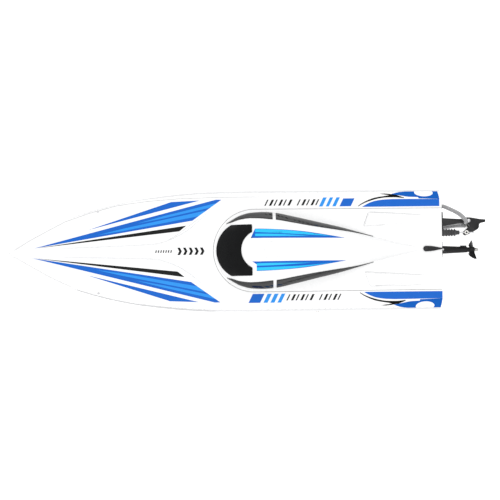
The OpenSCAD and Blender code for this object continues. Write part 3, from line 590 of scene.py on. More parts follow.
def label_band(axis="X", at=0.0, width=0.006, tone=(0.9, 0.9, 0.9)):
    """a plain printed band across a wrap"""

    def make_it(nt, mp, colour, base):
        sep = nt.nodes.new("ShaderNodeSeparateXYZ")
        nt.links.new(mp.outputs[0], sep.inputs[0])
        su = nt.nodes.new("ShaderNodeMath")
        su.operation = "SUBTRACT"
        nt.links.new(sep.outputs[axis], su.inputs[0])
        su.inputs[1].default_value = at
        ab = nt.nodes.new("ShaderNodeMath")
        ab.operation = "ABSOLUTE"
        nt.links.new(su.outputs[0], ab.inputs[0])
        lt = nt.nodes.new("ShaderNodeMath")
        lt.operation = "LESS_THAN"
        nt.links.new(ab.outputs[0], lt.inputs[0])
        lt.inputs[1].default_value = width
        mx = nt.nodes.new("ShaderNodeMix")
        mx.data_type = "RGBA"
        nt.links.new(lt.outputs[0], mx.inputs[0])
        nt.links.new(colour, mx.inputs[6])
        mx.inputs[7].default_value = (*tone, 1)
        return mx.outputs[2], lt.outputs[0]

    return make_it


M = {
    "white_hull": node_mat("white_hull", (0.84, 0.843, 0.85), 0.3, var=0.008, spec=0.4, coat=0.25, coat_rough=0.08, bump=0.012, bump_scale=320),
    "white_deck": node_mat("white_deck", (0.93, 0.932, 0.935), 0.28, var=0.008, spec=0.4, coat=0.25, coat_rough=0.07, bump=0.012, bump_scale=320),
    "white_hatch": node_mat("white_hatch", (0.93, 0.932, 0.935), 0.27, var=0.008, spec=0.4, coat=0.25, coat_rough=0.07, bump=0.012, bump_scale=320),
    "white_liner": node_mat("white_liner", (0.72, 0.725, 0.73), 0.5, var=0.04, bump=0.2, bump_scale=700),
    "foam_seal": node_mat("foam_seal", (0.05, 0.05, 0.052), 0.9, var=0.25, bump=0.8, bump_scale=2200, sheen=0.1),
    "black_plastic": node_mat("black_plastic", (0.013, 0.013, 0.014), 0.36, var=0.2, spec=0.28, bump=0.25, bump_scale=1800, edge_lighten=0.25),
    "black_lever": node_mat("black_lever", (0.012, 0.012, 0.013), 0.33, var=0.2, spec=0.28, bump=0.2, bump_scale=1500, edge_lighten=0.2),
    "black_rudder": node_mat("black_rudder", (0.011, 0.011, 0.012), 0.32, var=0.2, spec=0.28, bump=0.2, bump_scale=1600, edge_lighten=0.25),
    "steel_screw": node_mat("steel_screw", (0.5, 0.5, 0.51), 0.28, metal=1, var=0.1, bump=0.15, bump_scale=2600),
    "polished_steel": node_mat("polished_steel", (0.5, 0.5, 0.51), 0.16, metal=1, var=0.06, rough_var=0.06, bump=0.1, bump_scale=1200, stretch=(0.06, 1, 1)),
    "brass_tube": node_mat("brass_tube", (0.78, 0.56, 0.22), 0.26, metal=1, var=0.12, bump=0.12, bump_scale=1400, stretch=(0.1, 1, 1)),
    "bronze_bush": node_mat("bronze_bush", (0.5, 0.3, 0.14), 0.45, metal=1, var=0.18, bump=0.35, bump_scale=3000),
    "motor_black": node_mat("motor_black", (0.03, 0.031, 0.034), 0.35, metal=0.6, var=0.15, bump=0.15, bump_scale=1500),
    "blue_anodised": node_mat("blue_anodised", (0.05, 0.15, 0.5), 0.3, metal=0.9, var=0.1, bump=0.15, bump_scale=1600, stretch=(0.15, 1, 1)),
    "mount_alloy": node_mat("mount_alloy", (0.2, 0.21, 0.225), 0.42, metal=0.9, var=0.12, bump=0.25, bump_scale=1400, stretch=(1, 0.12, 1)),
    "alloy_bright": node_mat("alloy_bright", (0.66, 0.65, 0.63), 0.26, metal=1, var=0.07, bump=0.12, bump_scale=2000),
    "servo_blue": node_mat("servo_blue", (0.02, 0.06, 0.26), 0.32, var=0.12, coat=0.3, bump=0.12, bump_scale=900),
    "rubber_boot": node_mat("rubber_boot", (0.055, 0.055, 0.058), 0.6, var=0.25, spec=0.25, bump=0.35, bump_scale=2200, sheen=0.15),
    "silicone_hose": node_mat("silicone_hose", (0.5, 0.5, 0.51), 0.22, var=0.06, trans=0.45, ior=1.36, bump=0.05, bump_scale=600, coat=0.3),
    "black_screw": node_mat("black_screw", (0.025, 0.025, 0.027), 0.32, metal=0.7, var=0.15, bump=0.12, bump_scale=2200),
    "control_black": node_mat("control_black", (0.02, 0.021, 0.024), 0.4, var=0.2, bump=0.3, bump_scale=1800, edge_lighten=0.2),
    "battery_wrap": node_mat("battery_wrap", (0.015, 0.09, 0.5), 0.3, var=0.14, coat=0.5, bump=0.25, bump_scale=130,
                             pattern=label_band("X", -0.02, 0.005, (0.85, 0.86, 0.88))),
    "white_tray": node_mat("white_tray", (0.75, 0.755, 0.76), 0.45, var=0.03, bump=0.2, bump_scale=900),
    "strap_web": node_mat("strap_web", (0.025, 0.025, 0.028), 0.85, var=0.25, bump=0.5, bump_scale=2600, sheen=0.3,
                          pattern=weave(1300, 0.6)),
    "wire_red": node_mat("wire_red", (0.42, 0.015, 0.012), 0.38, var=0.1, bump=0.15, bump_scale=1500),
    "wire_yellow": node_mat("wire_yellow", (0.75, 0.5, 0.03), 0.38, var=0.1, bump=0.15, bump_scale=1500),
    "wire_brown": node_mat("wire_brown", (0.12, 0.055, 0.02), 0.4, var=0.15, bump=0.15, bump_scale=1500),
    "plug_amber": node_mat("plug_amber", (0.72, 0.42, 0.04), 0.36, var=0.08, bump=0.2, bump_scale=1400),
    "horn_white": node_mat("horn_white", (0.8, 0.8, 0.79), 0.4, var=0.03, bump=0.15, bump_scale=1300),
    "glass_black": node_mat("glass_black", (0.0045, 0.0048, 0.0052), 0.26, var=0.15, rough_var=0.04, spec=0.14, bump=0.02, bump_scale=120),
    "glass_smoked": node_mat("glass_smoked", (0.01, 0.0105, 0.011), 0.05, var=0.15, rough_var=0.02, spec=0.42, bump=0.01, bump_scale=120),
    "decal_blue": node_mat("decal_blue", (0.0095, 0.128, 0.565), 0.34, var=0.025, spec=0.14, bump=0.02, bump_scale=500),
    # a darker copy of decal_blue for the strips on the sloping shoulder: painted shade that holds back the extra light
    # the shoulder catches
    "decal_blue_side": node_mat("decal_blue_side", (0.012, 0.112, 0.48), 0.5, var=0.025, spec=0.0, bump=0.02, bump_scale=500),
    "decal_black_side": node_mat("decal_black_side", (0.009, 0.0095, 0.0095), 0.5, var=0.1, spec=0.0, bump=0.02, bump_scale=500),
    "decal_light": node_mat("decal_light", (0.03, 0.295, 0.83), 0.34, var=0.025, spec=0.14, bump=0.02, bump_scale=500),
    "decal_cyan": node_mat("decal_cyan", (0.03, 0.55, 0.95), 0.34, var=0.025, spec=0.14, bump=0.02, bump_scale=500),
    "decal_black": node_mat("decal_black", (0.007, 0.0078, 0.0076), 0.34, var=0.1, spec=0.14, bump=0.02, bump_scale=500),
}

# ------------------------------------------------------------------ camera and light
cam_d = bpy.data.cameras.new("camera")
cam = bpy.data.objects.new("camera", cam_d)
scene.collection.objects.link(cam)
scene.camera = cam
cam_d.sensor_width = 36
DIST, TILT, ROLL = 1.7, math.radians(2.2), math.radians(0.66)
TARGET = Vector((-0.00245, -0.0010, 0.058))
# the camera looks straight down, tipped a little towards port; image right is aft, image down is port
view_dir = Vector((0, -math.sin(TILT), -math.cos(TILT)))
right = Vector((-math.cos(ROLL), math.sin(ROLL), 0))
right = (right - view_dir * right.dot(view_dir)).normalized()
up = right.cross(view_dir).normalized()
cam.matrix_world = Matrix((
    (right.x, up.x, -view_dir.x, TARGET.x - view_dir.x * DIST),
    (right.y, up.y, -view_dir.y, TARGET.y - view_dir.y * DIST),
    (right.z, up.z, -view_dir.z, TARGET.z - view_dir.z * DIST),
    (0, 0, 0, 1)))
cam_d.lens = 36 * DIST / 0.5
cam_d.clip_start = 0.05
cam_d.clip_end = 30

scene.view_settings.view_transform = "Standard"
scene.view_settings.look = "None"
scene.view_settings.exposure = 0.0
world = bpy.data.worlds.new("studio")
scene.world = world
world.use_nodes = True
bg = world.node_tree.nodes["Background"]
bg.inputs[0].default_value = (1.0, 1.0, 1.0, 1)
bg.inputs[1].default_value = 0.8


def area(name, loc, target, size, power, size_y=None):
    li = bpy.data.lights.new(name, "AREA")
    li.energy = power
    li.size = size
    if size_y:
        li.shape = "RECTANGLE"
        li.size_y = size_y
    ob = bpy.data.objects.new(name, li)
    scene.collection.objects.link(ob)
    ob.location = loc
    ob.rotation_euler = (Vector(target) - Vector(loc)).to_track_quat("-Z", "Y").to_euler()
    return ob


area("key", (0.1, 0.75, 1.6), (0, 0, 0.05), 1.1, 5.4)
area("fill", (-0.3, -0.95, 1.5), (0, 0, 0.05), 1.4, 4.7)
area("top", (0.0, 0.0, 1.9), (0, 0, 0.05), 1.4, 4.0)

floor_me = bpy.data.meshes.new("floor")
floor_me.from_pydata([(-6, -6, -0.0005), (6, -6, -0.0005), (6, 6, -0.0005), (-6, 6, -0.0005)], [], [(0, 1, 2, 3)])
floor = bpy.data.objects.new("floor", floor_me)
scene.collection.objects.link(floor)
floor_mat = node_mat("pale_floor", (0.93, 0.93, 0.935), 0.7, var=0.006, var_scale=3, bump=0.02, bump_scale=60)
shade = next(n for n in floor_mat.node_tree.nodes if n.type == "BSDF_PRINCIPLED")
shade.inputs["Emission Color"].default_value = (1, 1, 1, 1)
shade.inputs["Emission Strength"].default_value = 0.45
floor_me.materials.append(floor_mat)
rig.stage(floor)

# ------------------------------------------------------------------ hull
def near_bow(s, fn):
    """a half section: ahead of station 2 the widths shrink with the beam"""
    if s >= 2:
        return fn(s, s)
    k = float(beam(s) / beam(2.0))
    return [(y * k, z) for y, z in fn(2.0, s)]


def lerp(a, b, n, first=True):
    t = np.linspace(0, 1, n)
    if not first:
        t = t[1:]
    return [(a[0] + (b[0] - a[0]) * k, a[1] + (b[1] - a[1]) * k) for k in t]


def hull_out(sy, sz):
    c, b, zf, zc = (float(v) for v in (chine_y(sy), beam(sy), flange_z(sz), chine_z(sz)))
    zk = 22 + float(keel_t(sz))
    p = min(4, c * 0.3)
    w = min(1.8, c * 0.05)
    y1, y2 = p + (c - p) * 0.38, p + (c - p) * 0.7
    l = float(lip(sy))
    fl = min(1.6, zf - zc - 1.2)

    def v(y):
        return zk if y <= p else zk + (zc - zk) * (y - p) / (c - p)

    r = min(0.5, w * 0.3)
    pts = [(0, zk), (p * 0.5, zk), (p * 0.9, zk), (p * 1.15, v(p * 1.15) + 0.0)]
    pts += lerp((p * 1.4, v(p * 1.4)), (y1, v(y1)), 8)
    pts += [(y1 + w - r, v(y1)), (y1 + w, v(y1) + r * 0.35), (y1 + w + 0.05, v(y1 + w + 0.05))]
    pts += lerp((y1 + w + 0.4, v(y1 + w + 0.4)), (y2, v(y2)), 7)
    pts += [(y2 + w - r, v(y2)), (y2 + w, v(y2) + r * 0.35), (y2 + w + 0.05, v(y2 + w + 0.05))]
    pts += lerp((y2 + w + 0.4, v(y2 + w + 0.4)), (c - w, v(c - w)), 6)
    pts += [(c - r, v(c - w)), (c - 0.1 * r, v(c - w) + 0.3 * r), (c + 0.03, v(c - w) + r * 1.3)]
    a, e = (c + 0.06, v(c - w) + r * 2), (b - l, zf - fl)
    side = lerp(a, e, 10)
    n = len(side)
    pts += [(y + 0.35 * math.sin(math.pi * i / (n - 1)) * min(1, c / 40), z) for i, (y, z) in enumerate(side)]
    q = min(0.3, l * 0.3)
    pts += [(b - l + q, zf - fl + 0.03), (b - q, zf - fl + 0.1), (b - q * 0.3, zf - fl + 0.1 + q * 0.3),
            (b, zf - fl + 0.1 + q), (b, zf - q), (b - q * 0.3, zf - q * 0.3), (b - q, zf)]
    pts += [(b - l * 0.6, zf), (b - l - 0.5 * min(1, b / 5), zf)]
    return pts


def hull_in(sy, sz):
    c, b, zf, zc = (float(v) for v in (chine_y(sy), beam(sy), flange_z(sz), chine_z(sz)))
    zk = 22 + float(keel_t(sz))
    p = min(4, c * 0.3)
    l, t = float(lip(sy)), 1.8

    def v(y):
        return zk if y <= p else zk + (zc - zk) * (y - p) / (c - p)

    a, m, k = (p, zk + t), (c * 0.5, v(c * 0.5) + t * 1.05), (c - t * 0.9, v(c - t * 0.9) + t * 0.95)
    e = (b - l - t - 1.2, zf - 1.6)
    return [(0, zk + t)] + lerp(a, m, 8) + lerp(m, k, 8, False) + lerp(k, e, 8, False) + [(b - l - t - 1.1, zf)]


def tub(out_rows, in_rows):
    """closed skin between two grids of full-width rows, open along the top"""
    n, m, k = len(out_rows), len(out_rows[0]), len(in_rows[0])
    verts = [q for r in out_rows for q in r] + [q for r in in_rows for q in r]
    b = n * m
    faces = grid_faces(n, m) + grid_faces(n, k, b, True)
    faces += [tuple(range(m)), tuple((n - 1) * m + c for c in range(m - 1, -1, -1))]
    faces += [tuple(b + c for c in range(k - 1, -1, -1)), tuple(b + (n - 1) * k + c for c in range(k))]
    for a in range(n - 1):
        for o, i in ((0, 0), (m - 1, k - 1)):
            faces.append((a * m + o, (a + 1) * m + o, b + (a + 1) * k + i, b + a * k + i))
    for a in (0, n - 1):
        faces.append((a * m, a * m + m - 1, b + a * k + k - 1, b + a * k))
    return verts, faces


def full(s, half):
    return [P(s, -y, z) for y, z in reversed(half[1:])] + [P(s, y, z) for y, z in half]


stations = [0.02, 0.15, 0.4, 0.8, 1.3, 2, 3, 4, 5, 6.5, 8] + list(np.arange(10, 60, 2.0)) + list(np.arange(60, 431, 3.0)) + [432]
out_rows = [full(s, near_bow(s, hull_out)) for s in stations]
in_rows = []
for s in stations:
    q = 15 + s * (432 - 2.2 - 15) / 432
    in_rows.append(full(q, hull_in(q, q)))
v, f = tub(out_rows, in_rows)
hull = make("hull_moulding", v, f, None, M["white_hull"], "white_hull", replaces=("hull_shell",), sharp=40)
st_dir = Vector((math.sin(math.radians(83)), 0, math.cos(math.radians(83))))


def on_shaft(h, x=0.0, y=0.0):
    """point on the shaft line in [s, y, z] mm; h runs forward and up from the propeller centre"""
    a = math.radians(7)
    return (464.5 - h * math.cos(a) + x * math.sin(a), y, 27 + h * math.sin(a) + x * math.cos(a))


cut(hull, [rod(on_shaft(0), on_shaft(62), 3.15), rod((425, -22.5, 32), (440, -22.5, 32), 2.1),
           rod((308, 50, 42.6), (308, 66, 42.6), 1.85)])
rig.ride(hull, "hull")

# ------------------------------------------------------------------ deck
HS, HR = 245.4, 41.0


def outline(s, d):
    """half-width of the hatch plan grown by d, and its outward normal in (s, y)"""
    r = HR + d
    if s < HS:
        y = math.sqrt(max(r * r - (HS - s) ** 2, 0.0))
        return y, ((s - HS) / r, y / r)
    return r - 0.7 * (s - HS) / (440 - HS), (0.0, 1.0)


def outline_stations(d, step=2.2):
    r = HR + d
    n = int(90 / step)
    return [HS - r * math.cos(math.radians(90 * i / n)) for i in range(n + 1)]


def deck_z(s, y):
    """deck skin with the centre spine, without the shoulder"""
    c = spine_w(s)
    q = np.minimum(0.7, c * 0.25)
    return zdeck(s, y) + spine_h(s) * smooth01((c + q - np.abs(y)) / (2 * q))


EDGE = 0.45


def deck_half(sy, sz, yin=0.0):
    s = sy
    f, w, le = float(foldw(s)), float(yb(s)), float(ledge(s))
    zf, zd = float(flange_z(sz)) + 0.05, float(fold_z(sz))
    c = max(float(spine_w(s)), yin + 2.5)
    c = min(c, f * 0.75 if yin == 0 else c)
    q = min(0.7, c * 0.25)
    ys = list(np.linspace(yin, max(c - q, yin), 7)) + list(np.linspace(c - q, c + q, 7)[1:])
    ys += list(np.linspace(c + q, f - min(0.4, f * 0.1), 24)[1:])
    dz = float(fold_z(sz)) - float(fold_z(sy))
    pts = [(y, float(deck_z(s, y)) + dz) for y in ys]
    r = min(0.4, f * 0.1)
    zt = zd
    pts += [(f - r * 0.45, zt - 0.03 * r), (f, zt - 0.22 * r), (f + 0.28 * r, zt - 0.62 * r)]
    a = (f + le, zt - 1.2 * le)
    pts += [(f + 0.55 * le, zt - 0.72 * le), (a[0] - 0.12 * le, a[1] + 0.2 * le)]
    b = (w, zf + 0.9)
    side = lerp(a, b, 13)
    n = len(side)
    for i, (y, z) in enumerate(side):
        k = 0.45 * math.sin(math.pi * i / (n - 1)) * min(1, f / 40)
        pts.append((y + k, z + k * 0.45))
    pts += [(w + 0.0, zf + 0.45), (w, zf)]
    return pts


s_apex = HS - (HR + 0.3 + EDGE)
deck_st = [0.02, 0.15, 0.4, 0.8, 1.3, 2, 3, 4, 5, 6.5, 8] + list(np.arange(10, 44, 2.0)) + list(np.arange(44, 62, 1.0))
deck_st += list(np.arange(62, 150, 2.0)) + list(np.arange(150, 203, 1.25)) + outline_stations(0.3 + EDGE)
k0 = next(i for i, s in enumerate(deck_st) if abs(s - s_apex) < 1e-6)
deck_st += list(np.arange(HS + 2.4, 431, 2.4)) + [431.6, 432]
verts, faces = [], []
BAND = [(math.sin(math.radians(a)), 1 - math.cos(math.radians(a))) for a in (90, 60, 30)]
caps = []
for side in (1, -1):
    rows = []
    for i, s in enumerate(deck_st):
        yin, nrm = outline(s, 0.3 + EDGE) if i >= k0 else (0.0, None)
        half = deck_half(s, s, yin) if s >= 2 else [(y * float(beam(s) / beam(2.0)), z) for y, z in deck_half(2.0, s)]
        row = []
        if nrm:
            z0 = half[0][1]
            low = z0 - 2.2 + min(0.0, 64.75 - z0 + 2.2) * smooth01((s - 300) / 100)
            for k, (sn, dn) in enumerate([(1.0, None)] + BAND):
                ds, dy = -nrm[0] * EDGE * sn, -nrm[1] * EDGE * sn
                z = low if dn is None else z0 - EDGE * dn
                row.append(P(s + ds if s < HS else s, side * (yin + dy), z))
        row += [P(s, side * y, z) for y, z in half]
        rows.append(row)
    base = len(verts)
    idx = []
    for r in rows:
        idx.append(list(range(len(verts), len(verts) + len(r))))
        verts += r
    for i in range(len(rows) - 1):
        a, b = idx[i], idx[i + 1]
        if len(a) < len(b):
            b = b[len(b) - len(a):]
        for c in range(len(a) - 1):
            q = (a[c], a[c + 1], b[c + 1], b[c])
            faces.append(q if side > 0 else q[::-1])
    caps.append(idx[-1])
faces.append(tuple(caps[0]) + tuple(reversed(caps[1])))
me = bpy.data.meshes.new("deck_moulding")
me.from_pydata(verts, [], faces)
bm = bmesh.new()
bm.from_mesh(me)
bmesh.ops.remove_doubles(bm, verts=bm.verts, dist=3e-6)
bmesh.ops.dissolve_degenerate(bm, edges=bm.edges, dist=1e-6)
bmesh.ops.recalc_face_normals(bm, faces=bm.faces)
up = sum(1 if q.normal.z > 0 else -1 for q in bm.faces if abs(q.normal.z) > 0.7)
if up < 0:
    bmesh.ops.reverse_faces(bm, faces=bm.faces)
bm.to_mesh(me)
bm.free()
deck = bpy.data.objects.new("deck_moulding", me)
scene.collection.objects.link(deck)


def solidify(ob, t):
    m = ob.modifiers.new("wall", "SOLIDIFY")
    m.thickness = t * MM
    m.offset = -1
    m.use_even_offset = False
    m.use_quality_normals = True
    apply(ob)


solidify(deck, 1.5)
cut(deck, [rod((429.6, -16, 60.4), (432.4, -16, 60.4), 3.3), rod((429.6, -42.9, 54), (432.4, -42.9, 54), 2.62)])
# the cutters leave their end faces across the holes, on both sides of the transom
import bmesh
ends = bmesh.new()
ends.from_mesh(deck.data)
bmesh.ops.delete(ends, geom=[f for f in ends.faces if all(v.co.x < -0.1941 for v in f.verts) or all(abs(v.co.x + 0.19135) < 2e-5 for v in f.verts)], context="FACES")
ends.to_mesh(deck.data)
ends.free()
deck.data.materials.clear()
deck.data.materials.append(M["white_deck"])
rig.replaces(deck, "deck_shell")
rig.slot(deck, "white_deck")
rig.ride(deck, "hull")

# ------------------------------------------------------------------ hatch
def hatch_rows():
    st = sorted(set([round(s, 4) for s in outline_stations(-EDGE, 1.5)] + [round(s, 4) for s in np.arange(HS + 1.8, 431, 1.8)] + [431.45, 431.7]))
    both = []
    for side in (1, -1):
        rows = []
        for s in st:
            w, nrm = outline(s, -EDGE)
            g = max(float(can_w(s)), w * 0.12)
            g = min(g, max(w - 0.3, w * 0.9))
            t = np.linspace(0, 1, 38)
            us = 1 - (1 - t) ** 2.2
            ys = list(g * us) + list(g + (w - g) * np.linspace(0, 1, 15)[1:] ** 1.25)
            ys = np.array(ys)
            zs = zhatch(np.full(len(ys), s), ys)
            row = [P(s, side * y, z) for y, z in zip(ys, zs)]
            z0 = zs[-1]
            for sn, dn in ((0.5, 0.134), (0.866, 0.5), (1.0, 1.0), (1.0, 4.0)):
                row.append(P(s + (nrm[0] * EDGE * sn if s < HS else 0), side * (w + nrm[1] * EDGE * sn), z0 - EDGE * dn))
            rows.append(row)
        last = rows[-1]
        rows.append([(q[0] - 0.00004, q[1], q[2] - 0.00025) for q in last])
        rows.append([(q[0] - 0.00005, q[1], min(q[2] - 0.0006, 0.0649)) for q in last])
        both.append(rows)
    return both


verts, faces = [], []
for side, rows in zip((1, -1), hatch_rows()):
    n, m = len(rows), len(rows[0])
    b = len(verts)
    verts += [q for r in rows for q in r]
    faces += grid_faces(n, m, b, side < 0)
me = bpy.data.meshes.new("hatch_moulding")
me.from_pydata(verts, [], faces)
bm = bmesh.new()
bm.from_mesh(me)
bmesh.ops.remove_doubles(bm, verts=bm.verts, dist=3e-6)
bmesh.ops.dissolve_degenerate(bm, edges=bm.edges, dist=1e-6)
bmesh.ops.recalc_face_normals(bm, faces=bm.faces)
up = sum(1 if q.normal.z > 0 else -1 for q in bm.faces if abs(q.normal.z) > 0.7)
if up < 0:
    bmesh.ops.reverse_faces(bm, faces=bm.faces)
bm.to_mesh(me)
bm.free()
hatch = bpy.data.objects.new("hatch_moulding", me)
scene.collection.objects.link(hatch)
solidify(hatch, 1.3)
cut(hatch, [rod((415.6, 0, 60), (415.6, 0, 75), 1.6)])
hatch.data.materials.clear()
hatch.data.materials.append(M["white_hatch"])
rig.replaces(hatch, "hatch_cover")
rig.slot(hatch, "white_hatch")
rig.ride(hatch, "hatch")


# raised scoop on the roof and the two wedge vents behind it
def raised(name, s0, s1, edges, height, body, mat, slot, n=34, m=22, rim=0.7, sink=1.2, power=1.0):
    """a raised form over the hatch: edges(s) gives its two sides, height(s) how far it stands up"""
    verts, faces = [], []
    ss = s0 + (s1 - s0) * np.linspace(0, 1, n) ** 1.3
    rows = []
    for i, s in enumerate(ss):
        a, b = edges(s)
        h = height(s)
        t = np.concatenate([[0, 0.0], np.linspace(0, 1, m), [1, 1.0]])
        row = []
        width = abs(b - a)
        for j, k in enumerate(t):
            y = a + (b - a) * k
            d = min(k, 1 - k) * width
            lift = h * math.sqrt(max(0.0, 1 - max(0.0, 1 - d / rim) ** 2)) if d < rim else h
            front = (s - s0) / rim
            if front < 1:
                lift = min(lift, h * (0.55 + 0.45 * math.sqrt(max(0.0, 1 - (1 - front) ** 2))))
            z = float(zhatch(s, y)) + lift
            if j in (0, len(t) - 1):
                z = float(zhatch(s, y)) - sink
            row.append((s, y, z))
        rows.append(row)
    first = [(s, y, float(zhatch(s, y)) - sink) for s, y, z in rows[0]]
    end = [(s, y, float(zhatch(s, y)) - sink) for s, y, z in rows[-1]]
    rows = [first] + rows + [end]
    nn, mm = len(rows), len(rows[0])
    verts = [P(*q) for r in rows for q in r]
    faces = grid_faces(nn, mm)
    faces.append(tuple([i * mm for i in range(nn)] + [i * mm + mm - 1 for i in range(nn - 1, -1, -1)]))
    return make(name, verts, faces, body, mat, slot, sharp=38, weld=1e-6)


def scoop_edges(s):
    w = 8.4 - 2.9 * (s - 255.2) / 33
    r = 1.5
    if s - 255.2 < r:
        w -= r - math.sqrt(max(0, r * r - (r - (s - 255.2)) ** 2))
    return -w, w


raised("hatch_scoop", 255.2, 288.5, scoop_edges, lambda s: 2.0 * max(0.0, 1 - ((s - 255.2) / 33.5) ** 1.15) + 0.02,
       "hatch", M["white_hatch"], "white_hatch")


def vent_edges(sign):
    def e(s):
        # slanted front edge from (360, 36.9) to (354.7, 23)
        inner = 23 + (26.7 - 23) * (s - 354.7) / (414.4 - 354.7)
        outer = 36.9 + (33.2 - 36.9) * (s - 360) / (414.4 - 360)
        if s < 360:
            outer = 23 + (36.9 - 23) * (s - 354.7) / 5.3
        outer = max(outer, inner + 0.05)
        return sign * inner, sign * outer

    return e


for nm, sg in (("port", 1), ("starboard", -1)):
    raised("hatch_vent_" + nm, 354.7, 414.4, vent_edges(sg), lambda s: 3.0 * max(0.0, 1 - (s - 354.7) / 60.0) ** 1.05 + 0.02,
           "hatch", M["white_hatch"], "white_hatch", n=60, m=20, rim=0.8)


# ------------------------------------------------------------------ patches that follow a skin
def patch(name, poly, surf, lo, hi, mat, slot, body, ds=3.0, dy=1.6, edge=1.2, bevel=0.0, sharp=35, replaces=(), off=None):
    """a thin closed solid whose plan is poly [(s, y)...] and that lies on the height field surf"""
    pts = []
    for i, a in enumerate(poly):
        b = poly[(i + 1) % len(poly)]
        n = max(1, int(math.ceil(math.dist(a, b) / edge)))
        pts += [(a[0] + (b[0] - a[0]) * k / n, a[1] + (b[1] - a[1]) * k / n) for k in range(n)]
    bm = bmesh.new()
    bm.faces.new([bm.verts.new((p[0], p[1], 0)) for p in pts])
    bmesh.ops.triangulate(bm, faces=bm.faces[:], ngon_method="EAR_CLIP")
    lo_s, hi_s = min(p[0] for p in pts), max(p[0] for p in pts)
    lo_y, hi_y = min(p[1] for p in pts), max(p[1] for p in pts)
    for axis, a, b, step in ((0, lo_s, hi_s, ds), (1, lo_y, hi_y, dy)):
        n = int(math.ceil((b - a) / step))
        for k in range(1, n):
            at = a + (b - a) * k / n
            co, no = [0, 0, 0], [0, 0, 0]
            co[axis], no[axis] = at, 1
            bmesh.ops.bisect_plane(bm, geom=bm.verts[:] + bm.edges[:] + bm.faces[:], dist=1e-4, plane_co=co, plane_no=no)
    bmesh.ops.remove_doubles(bm, verts=bm.verts, dist=0.03)
    bmesh.ops.dissolve_degenerate(bm, edges=bm.edges, dist=0.01)
    bm.verts.index_update()
    bm.normal_update()
    co = np.array([v.co[:2] for v in bm.verts])
    s, y = co[:, 0], co[:, 1]
    z = surf(s, y)
    nr = normals(surf, s, y)
    base = np.stack([HALF - s, y, z], -1)
    top, bot = base + nr * hi, base + nr * lo
    n = len(s)
    verts = np.vstack([top, bot]) * MM
    faces = []
    for f in bm.faces:
        q = [v.index for v in f.verts]
        faces.append(q)
        faces.append([n + k for k in reversed(q)])
    for e in bm.edges:
        if len(e.link_faces) == 1:
            lp = e.link_loops[0]
            a, b = lp.vert.index, lp.link_loop_next.vert.index
            faces.append((b, a, n + a, n + b))
    bm.free()
    return make(name, verts, faces, body, mat, slot, sharp=sharp, bevel=bevel * MM, weld=0, replaces=replaces)


def arc(cs, cy, r, a0, a1, n=24, ry=None):
    ry = r if ry is None else ry
    return [(cs + r * math.cos(math.radians(a0 + (a1 - a0) * k / n)), cy + ry * math.sin(math.radians(a0 + (a1 - a0) * k / n)))
            for k in range(n + 1)]


# windshield: a crescent across the front of the canopy
def windshield_outline():
    ca, ra, cb, rb = 235.9, 28.3, 251.8, 19.6
    a = math.degrees(math.asin(25.0 / ra))
    pts = [(ca - ra * math.cos(math.radians(t)), ra * math.sin(math.radians(t))) for t in np.linspace(-a, a, 60)]
    pts += [(242.2, 25.0), (242.75, 24.8), (243.0, 24.2)]
    b = math.degrees(math.asin(math.sqrt(rb * rb - 8.8**2) / rb))
    pts += [(243.0, 18.2)]
    pts += [(cb - rb * math.cos(math.radians(t)), rb * math.sin(math.radians(t))) for t in np.linspace(b, -b, 50)]
    pts += [(243.0, -18.2), (243.0, -24.2), (242.75, -24.8), (242.2, -25.0)]
    return pts


patch("windshield_glass", windshield_outline(), zhatch, -0.3, 0.62, M["glass_black"], "glass_black", "hatch",
      ds=1.1, dy=1.1, edge=0.8, bevel=0.22, replaces=("windshield",))


def window(name, s0, s1, sign, n, point_front=False, point_back=False):
    ss = np.linspace(s0, s1, n)
    m = 20
    rows_t, rows_b = [], []
    for s in ss:
        w = float(can_w(s))
        a = float(win_in(s))
        b = 0.987
        a = min(a, b - 0.004)
        f0, f1 = math.asin(a), math.asin(b)
        u = np.sin(np.linspace(f0, f1, m))
        y = sign * u * w
        z = zhatch(np.full(m, s), y)
        nr = normals(zhatch, np.full(m, s), y, 0.02)
        base = np.stack([np.full(m, HALF - s), y, z], -1)
        rows_t.append(base + nr * 0.55)
        rows_b.append(base - nr * 0.3)
    verts = np.vstack(rows_t + rows_b) * MM
    nm = n * m
    faces = grid_faces(n, m) + grid_faces(n, m, nm, True)
    for i in range(n - 1):
        for c in (0, m - 1):
            faces.append((i * m + c, (i + 1) * m + c, nm + (i + 1) * m + c, nm + i * m + c))
    for j in range(m - 1):
        for i in (0, n - 1):
            faces.append((i * m + j, i * m + j + 1, nm + i * m + j + 1, nm + i * m + j))
    return make(name, verts, faces, "hatch", M["glass_smoked"], "glass_smoked", bevel=0.2 * MM, weld=2e-5, sharp=40)


first = True
for nm, sg in (("port", 1), ("starboard", -1)):
    a = window("side_glass_front_" + nm, 217.6, 263.4, sg, 40)
    b = window("side_glass_rear_" + nm, 266.6, 363.2, sg, 70)
    if first:
        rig.replaces(a, "side_windows")
        first = False


# ------------------------------------------------------------------ vinyl graphics
def deck_skin(s, y):
    return deck_z(s, y)


def shoulder_skin(s, y):
    """deck skin from the fold outwards: the small step, then the shoulder down to the flange"""
    s, y = np.asarray(s, float), np.abs(np.asarray(y, float))
    f, w, le = foldw(s), yb(s), ledge(s)
    zd, zf = fold_z(s), flange_z(s) + 0.95
    a_y, a_z = f + le, zd - 1.2 * le
    span = np.maximum(w - a_y, 1e-3)
    k = 0.45 * np.minimum(1, f / 40)
    t = np.clip((y - a_y) / span, 0, 1)
    for _ in range(14):
        t = np.clip((y - a_y - k * np.sin(np.pi * t)) / span, 0, 1)
    side = a_z + (zf - a_z) * t + 0.45 * k * np.sin(np.pi * t)
    step = zd + (a_z - zd) * np.clip((y - f) / np.maximum(le, 1e-3), 0, 1)
    return np.where(y < a_y, step, side)


